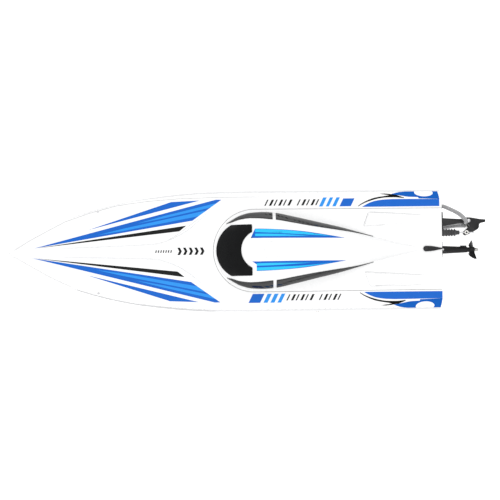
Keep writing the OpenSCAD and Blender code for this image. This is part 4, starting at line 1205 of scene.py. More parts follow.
def decal(name, poly, tone, surf=deck_skin, lift=0.06, ds=3.0, dy=1.6, body="hull", edge=1.4):
    return patch(name, poly, surf, -0.12, lift, M["decal_" + tone], "decal_" + tone, body, ds=ds, dy=dy, edge=edge)


def curve_pts(pts, n=10):
    """a smooth line through a few plan points"""
    q = spline([[p[0], p[1], 0] for p in pts], n)
    return [(a[0], a[1]) for a in q]


SIDES = (("port", 1, -1.0), ("starboard", -1, 1.0))
TIP, OUT_R, END_R, IN_R = (23.8, 4.8), (206.3, 51.2), (211.8, 51.1), (182.8, 30.5)


def on_line(a, b, s):
    return a[1] + (b[1] - a[1]) * (s - a[0]) / (b[0] - a[0])


def band_poly(f0, f1, s_start, lead=26.0):
    """a lighter band inside the long blade, between two shares of its width, tapering in at s_start"""
    mid = (f0 + f1) / 2
    inner_line = lambda s: on_line(TIP, IN_R, s)
    outer_line = lambda s: on_line(TIP, OUT_R, s)

    def at(s, f):
        a, b = inner_line(s), outer_line(s)
        return a + (b - a) * f

    # the rear end follows the slanted rear edge of the blade
    def rear(f):
        lo_s, hi_s = IN_R[0], END_R[0]
        for _ in range(40):
            m = (lo_s + hi_s) / 2
            y = at(m, f)
            s_edge = IN_R[0] + (y - IN_R[1]) * (END_R[0] - IN_R[0]) / (END_R[1] - IN_R[1])
            if m < s_edge:
                lo_s = m
            else:
                hi_s = m
        return lo_s

    e0, e1 = rear(f0), rear(f1)
    pts = [(s_start, at(s_start, mid))]
    for k in (0.33, 0.66, 1.0):
        s = s_start + lead * k
        pts.append((s, at(s, mid + (f1 - mid) * k ** 0.8)))
    pts.append((e1, at(e1, f1)))
    pts.append((e0, at(e0, f0)))
    for k in (1.0, 0.66, 0.33):
        s = s_start + lead * k
        pts.append((s, at(s, mid + (f0 - mid) * k ** 0.8)))
    return pts


def place(poly, sign, shift):
    return [(s + shift, y * sign) for s, y in poly]


def slanted(s0, s1, y0=43.4, y1=51.5, lean=4.0):
    """a slanted bar on the deck beside the hatch; s0 and s1 are its ends at the inner edge"""
    return [(s0, y0), (s1, y0), (s1 - lean, y1), (s0 - lean, y1)]


for nm, sg, sh in SIDES:
    decal("blade_" + nm, place([TIP, OUT_R, END_R, IN_R], sg, sh), "blue")
    decal("blade_band_a_" + nm, place(band_poly(0.22, 0.485, 88), sg, sh), "light", lift=0.09)
    decal("blade_band_b_" + nm, place(band_poly(0.61, 0.79, 128), sg, sh), "light", lift=0.09)
    decal("blade_outer_" + nm, place([(78.8, 22.5), (161.6, 49.4), (190.4, 50.6)], sg, sh), "blue", lift=0.05)
    decal("blade_black_" + nm, place([(27, 5), (176.5, 25.6), (169.6, 20)], sg, sh), "black", lift=0.05)

# bars and plain dashes in place of lettering beside the hatch
LEAN = 4.4


def bar(s0, s1, sign, y0=43.1, y1=52.0, lean=LEAN):
    """a slanted bar beside the hatch; s0 and s1 are its ends at the inner edge"""
    d = -lean if sign > 0 else lean
    return [(s0, sign * y0), (s1, sign * y0), (s1 + d, sign * y1), (s0 + d, sign * y1)]


decal("bar_dark_port", bar(243.0, 254.6, 1), "blue")
decal("bar_dark_starboard", bar(330.2, 341.5, -1, 43.1, 51.0, 3.9), "blue")
for k, (a, b) in enumerate([(257.8, 261.9), (264.7, 268.7), (271.7, 275.4)]):
    decal(f"bar_light_port_{k}", bar(a, b, 1), "light")
for k, (a, b) in enumerate([(309.8, 313.4), (316.5, 319.8), (323.0, 326.5)]):
    decal(f"bar_light_starboard_{k}", bar(a, b, -1, 43.2, 52.2), "light")
# rows of thin slanted ticks stand where the lettering was
TICKS = [0, 4.6, 9.2, 13.8, 18.4, 23.0, 32.2, 36.8, 41.4, 46.0, 50.6]
for sg, nm, s0, ya, yb_ in ((1, "port", 279.2, 43.9, 49.9), (-1, "starboard", 255.4, 44.5, 50.5)):
    for k, d in enumerate(TICKS):
        decal(f"tick_{nm}_{k}", bar(s0 + d, s0 + d + (2.3 if k % 2 else 1.3), sg, ya, yb_, 3.0), "black", ds=4, dy=1.5, lift=0.1)
for k in range(5):
    s0 = 168.6 + 5.6 * k
    decal(f"spine_mark_{k}", [(s0, 3.6), (s0 + 2.6, 3.6), (s0 + 4.4, 0), (s0 + 2.6, -3.6), (s0, -3.6), (s0 + 1.8, 0)], "black", ds=4, dy=1.5, lift=0.1)
for k in range(7):
    s0 = 146.5 + 2.5 * k
    decal(f"spine_dot_{k}", [(s0, 1.3), (s0 + 1.1, 1.3), (s0 + 1.7, -1.3), (s0 + 0.6, -1.3)], "black", ds=4, dy=1.5, lift=0.1)


# ---- roof stripes
R_OUT = pchip([[239, 20.6], [247, 20.8], [269, 19.9], [292, 18.0], [315, 14.6], [334.5, 11.15]])
R_IN = pchip([[239, 11.7], [260, 11.4], [334.5, 11.1]])


def roof_band(name, f0, f1, s_end, tone, lift, s_front, fade=0.0):
    """a stripe between two shares of the roof graphic's width, closing at s_end"""
    n = 26
    top, bot = [], []
    for i in range(n):
        s = s_front + (s_end - s_front) * i / (n - 1)
        a, b = float(R_IN(s)), float(R_OUT(s))
        k = 1.0 if s_end > 334 else max(0.0, 1 - max(0.0, (i / (n - 1) - 0.25) / 0.75) ** 1.4)
        m, h = (f0 + f1) / 2, (f1 - f0) / 2 * k
        top.append((s, a + (b - a) * (m + h)))
        bot.append((s, a + (b - a) * (m - h)))
    return top + bot[::-1]


for nm, sg, sh in (("port", 1, 0.8), ("starboard", -1, -0.4)):
    whole = roof_band("", 0, 1, 334.4, "", 0, 246.3)
    tip = [(242.0, 11.5)]
    # the inner front corner runs to a small point beside the windshield
    poly = [whole[0]] + whole[1:] + tip + [(246.3, 14.3)]
    decal("roof_stripe_" + nm, place(poly, sg, sh), "blue", surf=zhatch, body="hatch", ds=2.4, dy=1.2, lift=0.1)
    decal("roof_cyan_out_" + nm, place(roof_band("", 0.63, 0.95, 322, "", 0, 246.35), sg, sh), "cyan", surf=zhatch, body="hatch", ds=2.4, dy=1.0, lift=0.13)
    decal("roof_cyan_in_" + nm, place(roof_band("", 0.2, 0.45, 300, "", 0, 246.35), sg, sh), "cyan", surf=zhatch, body="hatch", ds=2.4, dy=1.0, lift=0.13)


# ---- stern graphics: on the deck top, then over the fold onto the shoulder
def strip(name, s0, s1, inner, outer, tone, surf, lift=0.06, n=60, m=10, body="hull", lo=-0.12, breaks=None, look=None):
    """a ruled thin solid between two edge curves given as functions of the station"""
    ss = np.linspace(s0, s1, n)
    top, bot = [], []
    for s in ss:
        a, b = inner(s), outer(s)
        if abs(b) < abs(a) + 0.02:
            b = math.copysign(abs(a) + 0.02, a)
        t = np.linspace(0, 1, m)
        y = a + (b - a) * t
        if breaks is not None:
            bp = [math.copysign(v, a) for v in breaks(s) if abs(a) < v < abs(b)]
            for v in bp:
                y[int(np.argmin(abs(y - v)))] = v
            y = np.array(sorted(y, key=abs))
        z = surf(np.full(m, s), y)
        nr = normals(surf, np.full(m, s), y, 0.03)
        base = np.stack([np.full(m, HALF - s), y, z], -1)
        top.append(base + nr * lift)
        bot.append(base + nr * lo)
    verts = np.vstack(top + bot) * MM
    nm_ = n * m
    faces = grid_faces(n, m) + grid_faces(n, m, nm_, True)
    for i in range(n - 1):
        for c in (0, m - 1):
            faces.append((i * m + c, (i + 1) * m + c, nm_ + (i + 1) * m + c, nm_ + i * m + c))
    for j in range(m - 1):
        for i in (0, n - 1):
            faces.append((i * m + j, i * m + j + 1, nm_ + i * m + j + 1, nm_ + i * m + j))
    return make(name, verts, faces, body, M[look or "decal_" + tone], "decal_" + tone, weld=4e-6)


stern_top = pchip([[353, 42.3], [358, 45.2], [365.4, 48.0], [374.6, 49.4], [385, 49.8], [431.6, 49.4]])
side_up = pchip([[383, 55.2], [390, 53.9], [397, 52.5], [403, 51.4], [409.3, 50.3]])
side_low = pchip([[383, 55.25], [392, 57.7], [398, 58.4], [405, 58.8], [427.6, 58.7], [431.6, 58.4]])


def skin_all(s, y):
    return np.where(np.abs(y) <= foldw(s), zdeck(s, y), shoulder_skin(s, y))


for nm, sg, sh in SIDES:
    q = 0.4 * sg
    END = 431.5 if sg > 0 else 429.7
    strip("stern_top_" + nm, 353.2 + q, END, lambda s: sg * 42.3, lambda s: sg * min(float(stern_top(s - q)), float(foldw(s)) - 0.05),
          "blue", zdeck)
    # the fold and side strips take the darker blue copy, painted shade for the shoulder
    strip("stern_fold_" + nm, 409.0, END, lambda s: sg * (float(foldw(s)) + 0.02), lambda s: sg * (float(foldw(s)) + float(ledge(s)) + 0.1),
          "blue", shoulder_skin, n=40, m=6, lift=0.17, lo=-0.2, look="decal_blue_side")
    strip("stern_side_" + nm, 383.2 + q, END,
          lambda s: sg * max(float(side_up(s - q)), float(foldw(s)) + float(ledge(s)) + 0.1),
          lambda s: sg * min(float(side_low(s - q)), float(yb(s)) - 0.1), "blue", shoulder_skin, n=90, m=18, lift=0.17, lo=-0.2, look="decal_blue_side")
    ell = arc(415.3, 56.6, 9.3, 0, 360, 48, 4.4)[:-1]
    ell = [(s, sg * min(y, float(yb(s)) - 0.15)) for s, y in ell]
    patch("stern_oval_" + nm, ell, shoulder_skin, -0.1, 0.24, M["white_deck"], "white_deck", "hull", ds=1.6, dy=0.8, edge=0.9)
    streak_o = pchip([[348.6, 43.0], [353, 46.0], [360, 49.4], [366, 51.4], [372, 52.4], [378, 53.3], [384, 54.4], [386.5, 54.5], [390, 53.2], [395, 51.2]])
    streak_i = pchip([[348.6, 42.4], [353, 45.0], [360, 47.9], [370, 50.6], [378, 51.6], [385, 51.7], [395, 50.7]])
    strip("stern_black_" + nm, 349 + q, 394.6, lambda s: sg * float(streak_i(s - q)), lambda s: sg * float(streak_o(s - q)), "black", skin_all,
          n=90, m=12, breaks=lambda s: [float(foldw(s)), float(foldw(s)) + float(ledge(s))], lift=0.19, lo=-0.2, look="decal_black_side")
    spur = [(371.2, 55.6), (376, 55.9), (381, 55.4), (386.5, 54.2), (385, 53.2), (379.5, 54.6)]
    patch("stern_spur_" + nm, place(spur, sg, 0), shoulder_skin, -0.15, 0.22, M["decal_black_side"], "decal_black", "hull", ds=1.6, dy=0.8, edge=0.9)

# fine painted shadow lines round the wedge vents, along both deck folds and beside the deck spine
# the grey of these painted shadow lines
SHADE_LINE_MAT = node_mat("seam_shadow", (0.36, 0.365, 0.37), 0.6, var=0.12, spec=0.1, bump=0.02, bump_scale=400)


def shade_line(name, pts, surf, body, slot, w=0.22, lift=0.09, n=14):
    """a thin raised line of grey along plan points [s, y]: a painted shadow line along an edge"""
    pts = np.array(pts, float)
    out = []
    for a, b in zip(pts[:-1], pts[1:]):
        out += [a + (b - a) * t for t in np.linspace(0, 1, n, endpoint=False)]
    out.append(pts[-1])
    p = np.array(out)
    d = np.gradient(p, axis=0)
    d /= np.linalg.norm(d, axis=1)[:, None] + 1e-9
    nrm = np.stack([-d[:, 1], d[:, 0]], -1)
    fade = np.minimum(1, np.minimum(np.arange(len(p)), np.arange(len(p))[::-1]) / 3 + 0.35)[:, None]
    l, r_ = p + nrm * w * fade, p - nrm * w * fade
    zl, zr = surf(l[:, 0], l[:, 1]), surf(r_[:, 0], r_[:, 1])
    rows = [np.stack([HALF - q[:, 0], q[:, 1], z + e], -1) for q, z, e in ((l, zl, lift), (r_, zr, lift), (r_, zr, -0.15), (l, zl, -0.15))]
    m = len(p)
    verts = np.vstack(rows) * MM
    faces = [(a * m + k, a * m + k + 1, b * m + k + 1, b * m + k) for a, b in ((0, 1), (1, 2), (2, 3), (3, 0)) for k in range(m - 1)]
    faces += [(0, m, 2 * m, 3 * m), (m - 1, 2 * m - 1, 3 * m - 1, 4 * m - 1)]
    return make(name, verts, faces, body, SHADE_LINE_MAT, slot, weld=0, sharp=50)


def at_px(px, py):
    return (px - 9.3, py - (253.875 - 0.0115 * px))


# painted shadow lines along the edges of the wedge vents, with widths set side by side
shade_line("seam_vent_starboard_front", [at_px(363.2, 225.9), at_px(368.2, 212.4)], zhatch, "hatch", "white_hatch")
shade_line("seam_vent_starboard_outer", [at_px(368.4, 212.2), at_px(397, 213.6), at_px(421, 215.2)], zhatch, "hatch", "white_hatch", w=0.13)
shade_line("seam_vent_starboard_inner", [at_px(363.4, 226.1), at_px(380, 225.6), at_px(398, 223.4)], zhatch, "hatch", "white_hatch", w=0.1)
shade_line("seam_vent_port_front", [at_px(364, 272.1), at_px(369.8, 285.9)], zhatch, "hatch", "white_hatch", w=0.16)
shade_line("seam_vent_port_inner", [at_px(364.2, 271.9), at_px(392, 273.2), at_px(423, 275.2)], zhatch, "hatch", "white_hatch", w=0.14)
shade_line("seam_vent_port_outer", [at_px(370, 286.1), at_px(396, 286), at_px(420, 284.6)], zhatch, "hatch", "white_hatch", w=0.1)
# painted shadow lines along the deck fold, wider on starboard than on port; only the starboard side of the spine gets
# one
shade_line("seam_deck_starboard", [at_px(*q) for q in ((13, 251.6), (30, 241), (50, 230.2), (66, 222), (90, 213.5), (118, 206), (150, 201.6), (180, 199.2), (220, 197.9), (260, 197.4))],
     skin_all, "hull", "white_deck", w=0.14, n=8)
shade_line("seam_deck_port", [at_px(*q) for q in ((14, 256.6), (30, 266), (50, 277.2), (80, 291.2), (110, 299.6), (140, 305.2), (180, 309.4), (215, 311.6))],
     skin_all, "hull", "white_deck", w=0.09, n=8)
shade_line("seam_spine_starboard", [at_px(*q) for q in ((64, 248.8), (100, 247.4), (128, 246), (148, 245), (160, 243.6), (168, 241), (178, 235), (190, 226), (200, 218.6))],
     skin_all, "hull", "white_deck", w=0.1, n=8)


# ------------------------------------------------------------------ CAD nodes taken over with softened edges
BODY = {n: o["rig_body"] for n, o in NODES.items()}


def refined(node, mat, bevel, slot=None, seg=2, sharp=33, limit=30, name=None):
    """the node's own shape with its edges rounded over and a clean smooth shading"""
    me = NODES[node].data.copy()
    bm = bmesh.new()
    bm.from_mesh(me)
    bmesh.ops.remove_doubles(bm, verts=bm.verts, dist=4e-6)
    bmesh.ops.dissolve_degenerate(bm, edges=bm.edges, dist=2e-6)
    bmesh.ops.recalc_face_normals(bm, faces=bm.faces)
    bm.to_mesh(me)
    bm.free()
    for at in list(me.attributes):
        if at.name not in ("position", ".edge_verts", ".corner_vert", ".corner_edge") and not at.is_required:
            try:
                me.attributes.remove(at)
            except RuntimeError:
                pass
    return dress(name or node + "_piece", me, BODY[node], M[mat], slot or mat, sharp=sharp, bevel=bevel * MM, seg=seg,
                 weld=0, replaces=(node,), limit=limit)


for node, mat, bev in (
    ("strut", "black_plastic", 0.3), ("strut_screws", "steel_screw", 0.1),
    ("rudder_bracket", "black_plastic", 0.3), ("bracket_screws", "steel_screw", 0.1),
    ("rudder_blade", "black_rudder", 0.25), ("rudder_pin", "polished_steel", 0.12),
    ("rudder_nipples", "alloy_bright", 0.1), ("rod_stopper", "alloy_bright", 0.15),
    ("stopper_screw", "black_screw", 0.05), ("prop_nut", "alloy_bright", 0.12),
    ("drive_dog", "black_screw", 0.1), ("drive_shaft", "polished_steel", 0.2),
    ("stuffing_tube", "brass_tube", 0.12), ("front_bushing", "bronze_bush", 0.08),
    ("rear_bushing", "bronze_bush", 0.08), ("water_jacket", "blue_anodised", 0.2),
    ("motor_mount", "mount_alloy", 0.25), ("motor_screws", "steel_screw", 0.1),
    ("servo_mount", "mount_alloy", 0.25), ("servo_screws", "steel_screw", 0.1),
    ("servo_horn", "horn_white", 0.15), ("horn_screw", "steel_screw", 0.1),
    ("hose_grommets", "rubber_boot", 0.2), ("water_outlet", "alloy_bright", 0.12),
    ("battery_tray", "white_tray", 0.25), ("battery_plug", "plug_amber", 0.35),
    ("shaft_coupler", "alloy_bright", 0.25), ("coupler_screws", "black_screw", 0.06),
    ("motor_shaft", "polished_steel", 0.15), ("latch_cam", "black_lever", 0.2),
    ("latch_screw", "black_screw", 0.08), ("deck_screws", "steel_screw", 0.06),
    ("hatch_frame", "white_liner", 0.15), ("hatch_gasket", "foam_seal", 0.25),
    ("battery_straps", "strap_web", 0.15), ("servo_case", "servo_blue", 0.5), ("motor_can", "motor_black", 0.45),
    ("speed_control", "control_black", 0.35), ("receiver", "control_black", 0.6),
    ("control_pad", "foam_seal", 0.4), ("receiver_pad", "foam_seal", 0.4),
):
    refined(node, mat, bev)

# ------------------------------------------------------------------ hoses and wires
HOSE_UP = [[433.4, -42.9, 54], [434.8, -42.8, 54.1], [441, -39.8, 58.2], [446, -36.8, 63.2],
           [450, -33.8, 66.8], [453.2, -30.6, 68.2], [455.6, -27.8, 67], [456.5, -26.4, 64.4], [456.6, -26.1, 61.6], [456.6, -26.1, 59.0]]
HOSE_LOW = [[432, -22.5, 32], [438, -22.7, 32.2], [444, -23.4, 33], [450, -24, 34.6], [456.2, -24.1, 35.4], [459.6, -24.1, 35.4]]
HOSE_IN = [[352, -14.6, 55.4], [355, -18.4, 58.4], [361, -26, 58.2], [369, -34.6, 54.4], [378, -39.6, 52.4],
           [390, -41.4, 52.4], [404, -42.4, 53.2], [417, -42.8, 53.8], [427.6, -42.9, 54]]
HOSE_OUT = [[330.6, 14.8, 58], [328.6, 18.6, 60.6], [325, 25.4, 60.2], [320, 33, 56.2], [314, 39.8, 50.4],
            [309, 44.6, 45], [308.2, 46.8, 43.2], [308, 48.7, 42.6]]


def hose(name, route, node, body, r=2.0, bore=1.0, mat="silicone_hose", n=110, sides=32, blend=None):
    v, f = sweep(route, r, bore, n=n, sides=sides)
    o = make(name, v, f, None if blend else body, M[mat], mat, weld=0, replaces=(node,), sharp=50)
    if blend:
        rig.blend(o, *blend)
    return o


hose("cooling_hose_upper", HOSE_UP, "hose_upper", "hull",
     blend=("hull", "rudder", P(441, -39, 58), P(455.5, -27.5, 62)))
hose("cooling_hose_lower", HOSE_LOW, "hose_lower", "hull", n=70,
     blend=("hull", "rudder", P(436, -23, 33), P(456, -24.1, 35.4)))
hose("cooling_hose_in", HOSE_IN, "hose_inner_in", "hull", n=120)
hose("cooling_hose_out", HOSE_OUT, "hose_inner_out", "hull", n=90)


def wires(name, node, routes, r, mat, n=70):
    verts, faces = [], []
    for rt in routes:
        v, f = sweep(rt, r, 0.0, n=n, sides=20, ends=0.15)
        k = len(verts)
        verts += list(v)
        faces += [tuple(i + k for i in q) for q in f]
    return make(name, verts, faces, BODY[node], M[mat], mat, weld=0, replaces=(node,), sharp=50)


ROD = [[382.3, -16, 55.2], [382.3, -16, 57], [382.35, -16, 59.2], [382.7, -16, 60.05], [383.6, -16, 60.4], [386, -16, 60.4],
       [400, -16, 60.4], [430, -16, 60.4], [455, -16, 60.4], [464.6, -16, 60.4]]
v_, f_ = sweep(ROD, 0.55, 0.0, n=150, sides=24, ends=0.12)
make("linkage_rod", v_, f_, "pushrod", M["polished_steel"], "polished_steel", weld=0, replaces=("pushrod",), sharp=50)
wires("battery_wires", "battery_leads", [[[288.3, y, 49], [289.8, y, 49.1], [292, y * 0.98, 49.1], [293.6, y * 0.98, 49]] for y in (-3.4, 3.4)], 1.3, "wire_red", 24)
wires("control_wires", "control_leads", [
    [[304.8, -2.6, 49], [306, -3.3, 49.3], [305.8, -9, 50], [301.5, -13.5, 50], [298.6, -17.5, 49.8], [298, -22.7, 49]],
    [[304.4, 2.6, 49], [308, 2.4, 49.4], [310.4, -3, 50], [309.8, -10, 50.2], [306.8, -16.5, 50], [306, -22.7, 49]]], 1.3, "wire_red")
wires("motor_wires", "motor_leads", [
    [[315.1, -2 + k * 2.4, 45.5 + k * 2.6], [313.6, -3.6 + k * 2.2, 46 + k * 3], [313.4, -12, 46 + k * 3.4], [314.8, -22, 47 + k * 3.4],
     [315.4, -31, 47.2 + k * 3.3], [314.6, -35.4, 47.5 + k * 3.2], [312.7, -36.2, 47.5 + k * 3.2]] for k in (-1, 0, 1)], 1.1, "wire_yellow")
wires("servo_wire", "servo_lead", [[[396, -21.5, 42], [397, -18.5, 43], [401, -12, 45.5], [404, -4, 47], [403, 5, 47.4],
                                   [398, 14, 47.6], [388, 23, 48], [378, 30, 48], [370.4, 32, 48]]], 1.2, "wire_brown", 110)


# ------------------------------------------------------------------ bellows on the linkage rod
def turned(name, node, profile, s, y, z, body, mat, steps=64, sharp=40, bore=None, blend=None, replaces=True):
    """a turned piece about a line running aft from station s"""
    v, f = lathe(profile, steps)
    pts = [P(s + h, y + a, z + b) for a, b, h in v]
    o = make(name, pts, f, None if blend else body, M[mat], mat, weld=0, replaces=(node,) if replaces else (), sharp=sharp)
    if blend:
        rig.blend(o, *blend)
    return o


prof = [(2.88, 0.0), (3.85, 0.0), (3.85, 0.75)]
for k in range(5):
    c = 2.35 + 2.7 * k
    r0_, r1_ = (3.1, 3.05, 2.95, 2.8, 2.65, 2.5)[k:k + 2]
    prof += [(r0_, c - 1.15), (3.85, c - 0.2), (3.85, c + 0.2), (r1_, c + 1.15)]
prof += [(2.3, 14.6), (1.78, 14.6), (2.1, 11), (2.45, 7), (2.8, 3)]
turned("linkage_bellows", "bellows", round_profile(prof, 0.3, 4), 432.05, -16, 60.4, "hull", "rubber_boot", 72,
       blend=("hull", "bellows_tip", P(433, -16, 60.4), P(446.6, -16, 60.4)))
turned("linkage_bellows_nose", "bellows_nose", round_profile([(1.74, 0), (2.35, 0), (2.35, 0.7), (2.1, 1.0), (2.02, 2.5), (2.12, 2.7), (2.12, 3.2), (1.74, 3.2)], 0.1, 3),
       446.75, -16, 60.4, "bellows_tip", "rubber_boot", 56)


# ------------------------------------------------------------------ propeller
def shaft_pt(x, y, h):
    """local shaft axes: h forward along the shaft, x up, y to port"""
    a = math.radians(7)
    c, s_ = math.cos(a), math.sin(a)
    # OpenSCAD rotate([0, 90 - 7, 0]): x' = x cos83 + z sin83, z' = -x sin83 + z cos83
    b = math.radians(83)
    X_ = x * math.cos(b) + h * math.sin(b)
    Z_ = -x * math.sin(b) + h * math.cos(b)
    return (MM * (HALF - 464.5 + X_), MM * y, MM * (27 + Z_))


PITCH = 44.0


def blade(phase, nr=34, nc=19):
    """left-handed helical blade: straight trailing edge, leading edge swept back to the tip"""
    le = pchip([[2.4, 0.5], [3.2, 0.8], [4.2, 1.5], [5.2, 1.2], [7.5, -0.6], [10, -2.4], [12.3, -3.9], [13, -4.5]])
    te = pchip([[2.4, -4.1], [4.2, -4.3], [7.5, -4.5], [13, -4.75]])
    thick = pchip([[2.4, 1.4], [4.2, 1.25], [7.5, 0.95], [10, 0.8], [13, 0.45]])
    kk = 2 * math.pi / PITCH
    xs = 0.5 - 0.5 * np.cos(np.linspace(0, math.pi, nc))
    sec = [(x, 0.5 * (1 - (2 * x - 1) ** 2) ** 0.6) for x in xs]
    sec += [(x, -0.5 * (1 - (2 * x - 1) ** 2) ** 0.6) for x in xs[::-1][1:-1]]
    rows = []
    for r in 2.4 + 10.6 * np.linspace(0, 1, nr) ** 0.9:
        l, t_, th = float(le(r)), float(te(r)), float(thick(r))
        m = math.sqrt(1 + r * r * kk * kk)
        ring = []
        for x, y in sec:
            h = t_ + (l - t_) * x
            g = math.radians(phase) - (h + 4.7) * kk + y * th / m / r
            ring.append(shaft_pt(r * math.cos(g), r * math.sin(g), h + y * th * r * kk / m))
        rows.append(ring)
    m = len(rows[0])
    verts = [q for r in rows for q in r]
    faces = []
    for a in range(len(rows) - 1):
        for c in range(m):
            d = (c + 1) % m
            faces.append((a * m + c, a * m + d, (a + 1) * m + d, (a + 1) * m + c))
    faces.append(tuple(range(m))[::-1])
    faces.append(tuple((len(rows) - 1) * m + c for c in range(m)))
    return verts, faces


verts, faces = [], []
for ph in (134, 314):
    v, f = blade(ph)
    k = len(verts)
    verts += v
    faces += [tuple(i + k for i in q) for q in f]
v, f = lathe(round_profile([(1.6, -4.6), (2.6, -4.6), (2.95, -4.2), (3.15, 0.95), (1.6, 0.95)], 0.25, 3), 64)
k = len(verts)
verts += [shaft_pt(*q) for q in v]
faces += [tuple(i + k for i in q) for q in f]
make("propeller_screw", verts, faces, "driveline", M["black_rudder"], "black_rudder", weld=0, replaces=("propeller",), sharp=45)


# ------------------------------------------------------------------ latch lever
def latch():
    r0, s0, s1 = 2.72, 415.6, 431.5
    ss = [s0 - r0 * math.cos(a) for a in np.linspace(0.02, math.pi / 2, 14)] + list(np.linspace(s0, s1, 34)[1:])
    rows = []
    width = pchip([[0, r0], [0.3, 2.5], [0.55, 1.95], [0.8, 1.2], [1, 0.62]])
    for s in ss:
        if s <= s0:
            w = math.sqrt(max(r0 * r0 - (s0 - s) ** 2, 0.0))
        else:
            t = (s - s0) / (s1 - s0)
            w = float(width(t))
        top = 70.0 - 0.45 * smooth01((s - s0) / 9)
        ring = []
        k = 0.55
        prof = [(-1, 68.2), (-1, top - k), (-0.86, top - 0.14), (-0.6, top + 0.02), (-0.3, top + 0.07), (0, top + 0.09), (0.3, top + 0.07), (0.6, top + 0.02),
                (0.86, top - 0.14), (1, top - k), (1, 68.2)]
        for a, z in prof:
            ring.append(P(s, a * w, z))
        rows.append(ring)
    m = len(rows[0])
    verts = [q for r in rows for q in r]
    faces = []
    for a in range(len(rows) - 1):
        for c in range(m):
            d = (c + 1) % m
            faces.append((a * m + c, a * m + d, (a + 1) * m + d, (a + 1) * m + c))
    faces.append(tuple(range(m)))
    faces.append(tuple((len(rows) - 1) * m + c for c in range(m)))
    o = make("latch_handle", verts, faces, None, M["black_lever"], "black_lever", weld=1e-6, replaces=("latch_lever",), sharp=38)
    cut(o, [rod((415.6, 0, 60), (415.6, 0, 75), 1.05)])
    o.data.materials.clear()
    o.data.materials.append(M["black_lever"])
    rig.ride(o, "latch")


latch()


# ------------------------------------------------------------------ small box work
def extruded(name, poly, frame_fn, a, b, body, mat, bevel=0.3, seg=2, replaces=(), slot=None):
    """a straight extrusion of a plan polygon; frame_fn(u, v, w) places it"""
    n = len(poly)
    verts = [frame_fn(p[0], p[1], a) for p in poly] + [frame_fn(p[0], p[1], b) for p in poly]
    faces = [tuple(range(n)), tuple(range(2 * n - 1, n - 1, -1))]
    for i in range(n):
        j = (i + 1) % n
        faces.append((i, j, n + j, n + i))
    return make(name, verts, faces, body, M[mat], slot or mat, bevel=bevel * MM, seg=seg, weld=0, replaces=replaces, limit=25)


extruded("hatch_tongue", [(199.6, 63.45), (213, 63.45), (213, 66.4), (206, 66.4), (206, 64.6), (199.6, 64.6)],
         lambda s, z, y: P(s, y, z), -7, 7, "hatch", "white_hatch", 0.35, 3)


def rounded_rect(s0, s1, y0, y1, r, n=6):
    out = []
    for cs, cy, a0 in ((s1 - r, y1 - r, 0), (s0 + r, y1 - r, 90), (s0 + r, y0 + r, 180), (s1 - r, y0 + r, 270)):
        out += [(cs + r * math.cos(math.radians(a0 + 90 * k / n)), cy + r * math.sin(math.radians(a0 + 90 * k / n))) for k in range(n + 1)]
    return out


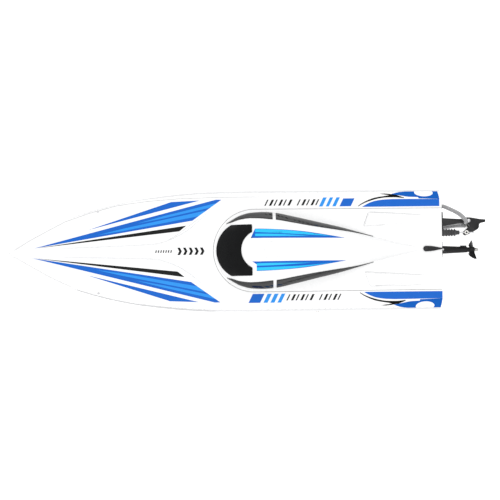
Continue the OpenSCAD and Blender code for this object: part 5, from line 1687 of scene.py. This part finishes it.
# battery pack: two cells side by side in a shrink wrap, with folded ends
def battery():
    s0, s1 = 216.0, 288.0
    rows = []
    n = 60
    for i in range(n + 1):
        t = i / n
        s = s0 + (s1 - s0) * t
        e = min(t, 1 - t) * (s1 - s0)
        pin = 1.6 * (1 - min(1, e / 3.0)) ** 2
        ring = []
        m = 64
        for k in range(m):
            a = 2 * math.pi * k / m
            cx, cz = math.cos(a), math.sin(a)
            p = 9.0
            q = (abs(cx) ** p + abs(cz) ** p) ** (-1 / p)
            y, z = 18.0 * cx * q, 10.0 * cz * q
            groove = 0.55 * math.exp(-((y / 1.1) ** 2)) * (1 if abs(z) > 8 else 0)
            ridge = 0.12 * math.sin(s * 1.3) * math.exp(-e / 6)
            sc = 1 - pin / 18
            zz = (abs(z) - groove) * (1 if z > 0 else -1)
            ring.append(P(s, (y + 0) * sc, 44 + zz * (1 - pin / 10) - 0.0 + ridge * 0))
        rows.append(ring)
    m = len(rows[0])
    verts = [q for r in rows for q in r]
    faces = []
    for a in range(n):
        for c in range(m):
            d = (c + 1) % m
            faces.append((a * m + c, a * m + d, (a + 1) * m + d, (a + 1) * m + c))
    faces.append(tuple(range(m)))
    faces.append(tuple(n * m + c for c in range(m)))
    make("battery_cells", verts, faces, "hull", M["battery_wrap"], "battery_wrap", weld=0, replaces=("battery_pack",), sharp=50)


battery()


# plain plates, bands and seams on the bought-in units
def flat(s, y, z):
    return P(s, y, z)


extruded("receiver_plate", rounded_rect(343, 367, 25, 39, 1.2), flat, 54.3, 54.62, "hull", "white_tray", 0.08)
extruded("receiver_socket", rounded_rect(369.4, 371.2, 25, 39.5, 0.3), flat, 45.2, 51.2, "hull", "black_plastic", 0.15)
extruded("control_plate", rounded_rect(263.4, 268.4, -42.5, -25.5, 0.8), flat, 53.4, 53.86, "hull", "alloy_bright", 0.1)
for k_, s_ in enumerate((264.2, 264.2, 309.8, 309.8)):
    y_ = (-43.4, -24.6)[k_ % 2]
    v, f = lathe([(0.35, -0.3), (0.9, -0.3), (0.9, 0.25), (0.75, 0.38), (0.35, 0.38)], 24)
    make(f"control_screw_{k_}", [P(s_ + a, y_ + b, 53.6 + h) for a, b, h in v], f, "hull", M["steel_screw"], "steel_screw", weld=0, sharp=40)
for nm_, h0, h1, r_, mt_ in (("motor_band_front", 109.2, 111.4, 14.22, "alloy_bright"), ("motor_band_rear", 143.2, 146.2, 14.22, "alloy_bright"),
                             ("jacket_seal_front", 112.6, 113.4, 15.0, "foam_seal"), ("jacket_seal_rear", 140.8, 141.7, 15.0, "foam_seal")):
    v, f = lathe(round_profile([(13.7, h0), (r_, h0), (r_, h1), (13.7, h1)], 0.18, 3), 72)
    make(nm_, [shaft_pt(*q) for q in v], f, "hull", M[mt_], mt_, weld=0, sharp=40)
for k_ in range(2):
    y0_, y1_ = ((-34.0, -33.85), (-21.95, -21.8))[k_]
    extruded(f"servo_plate_{k_}", rounded_rect(382, 399, 39, 48, 1.0), lambda s, z, y: P(s, y, z), y0_, y1_, "hull", "control_black", 0.04)

BOX_NOW = [list(v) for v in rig.bounds()]
with open("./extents.json", "w") as fh:
    json.dump({"cad": CAD_BOX, "visual": BOX_NOW}, fh)
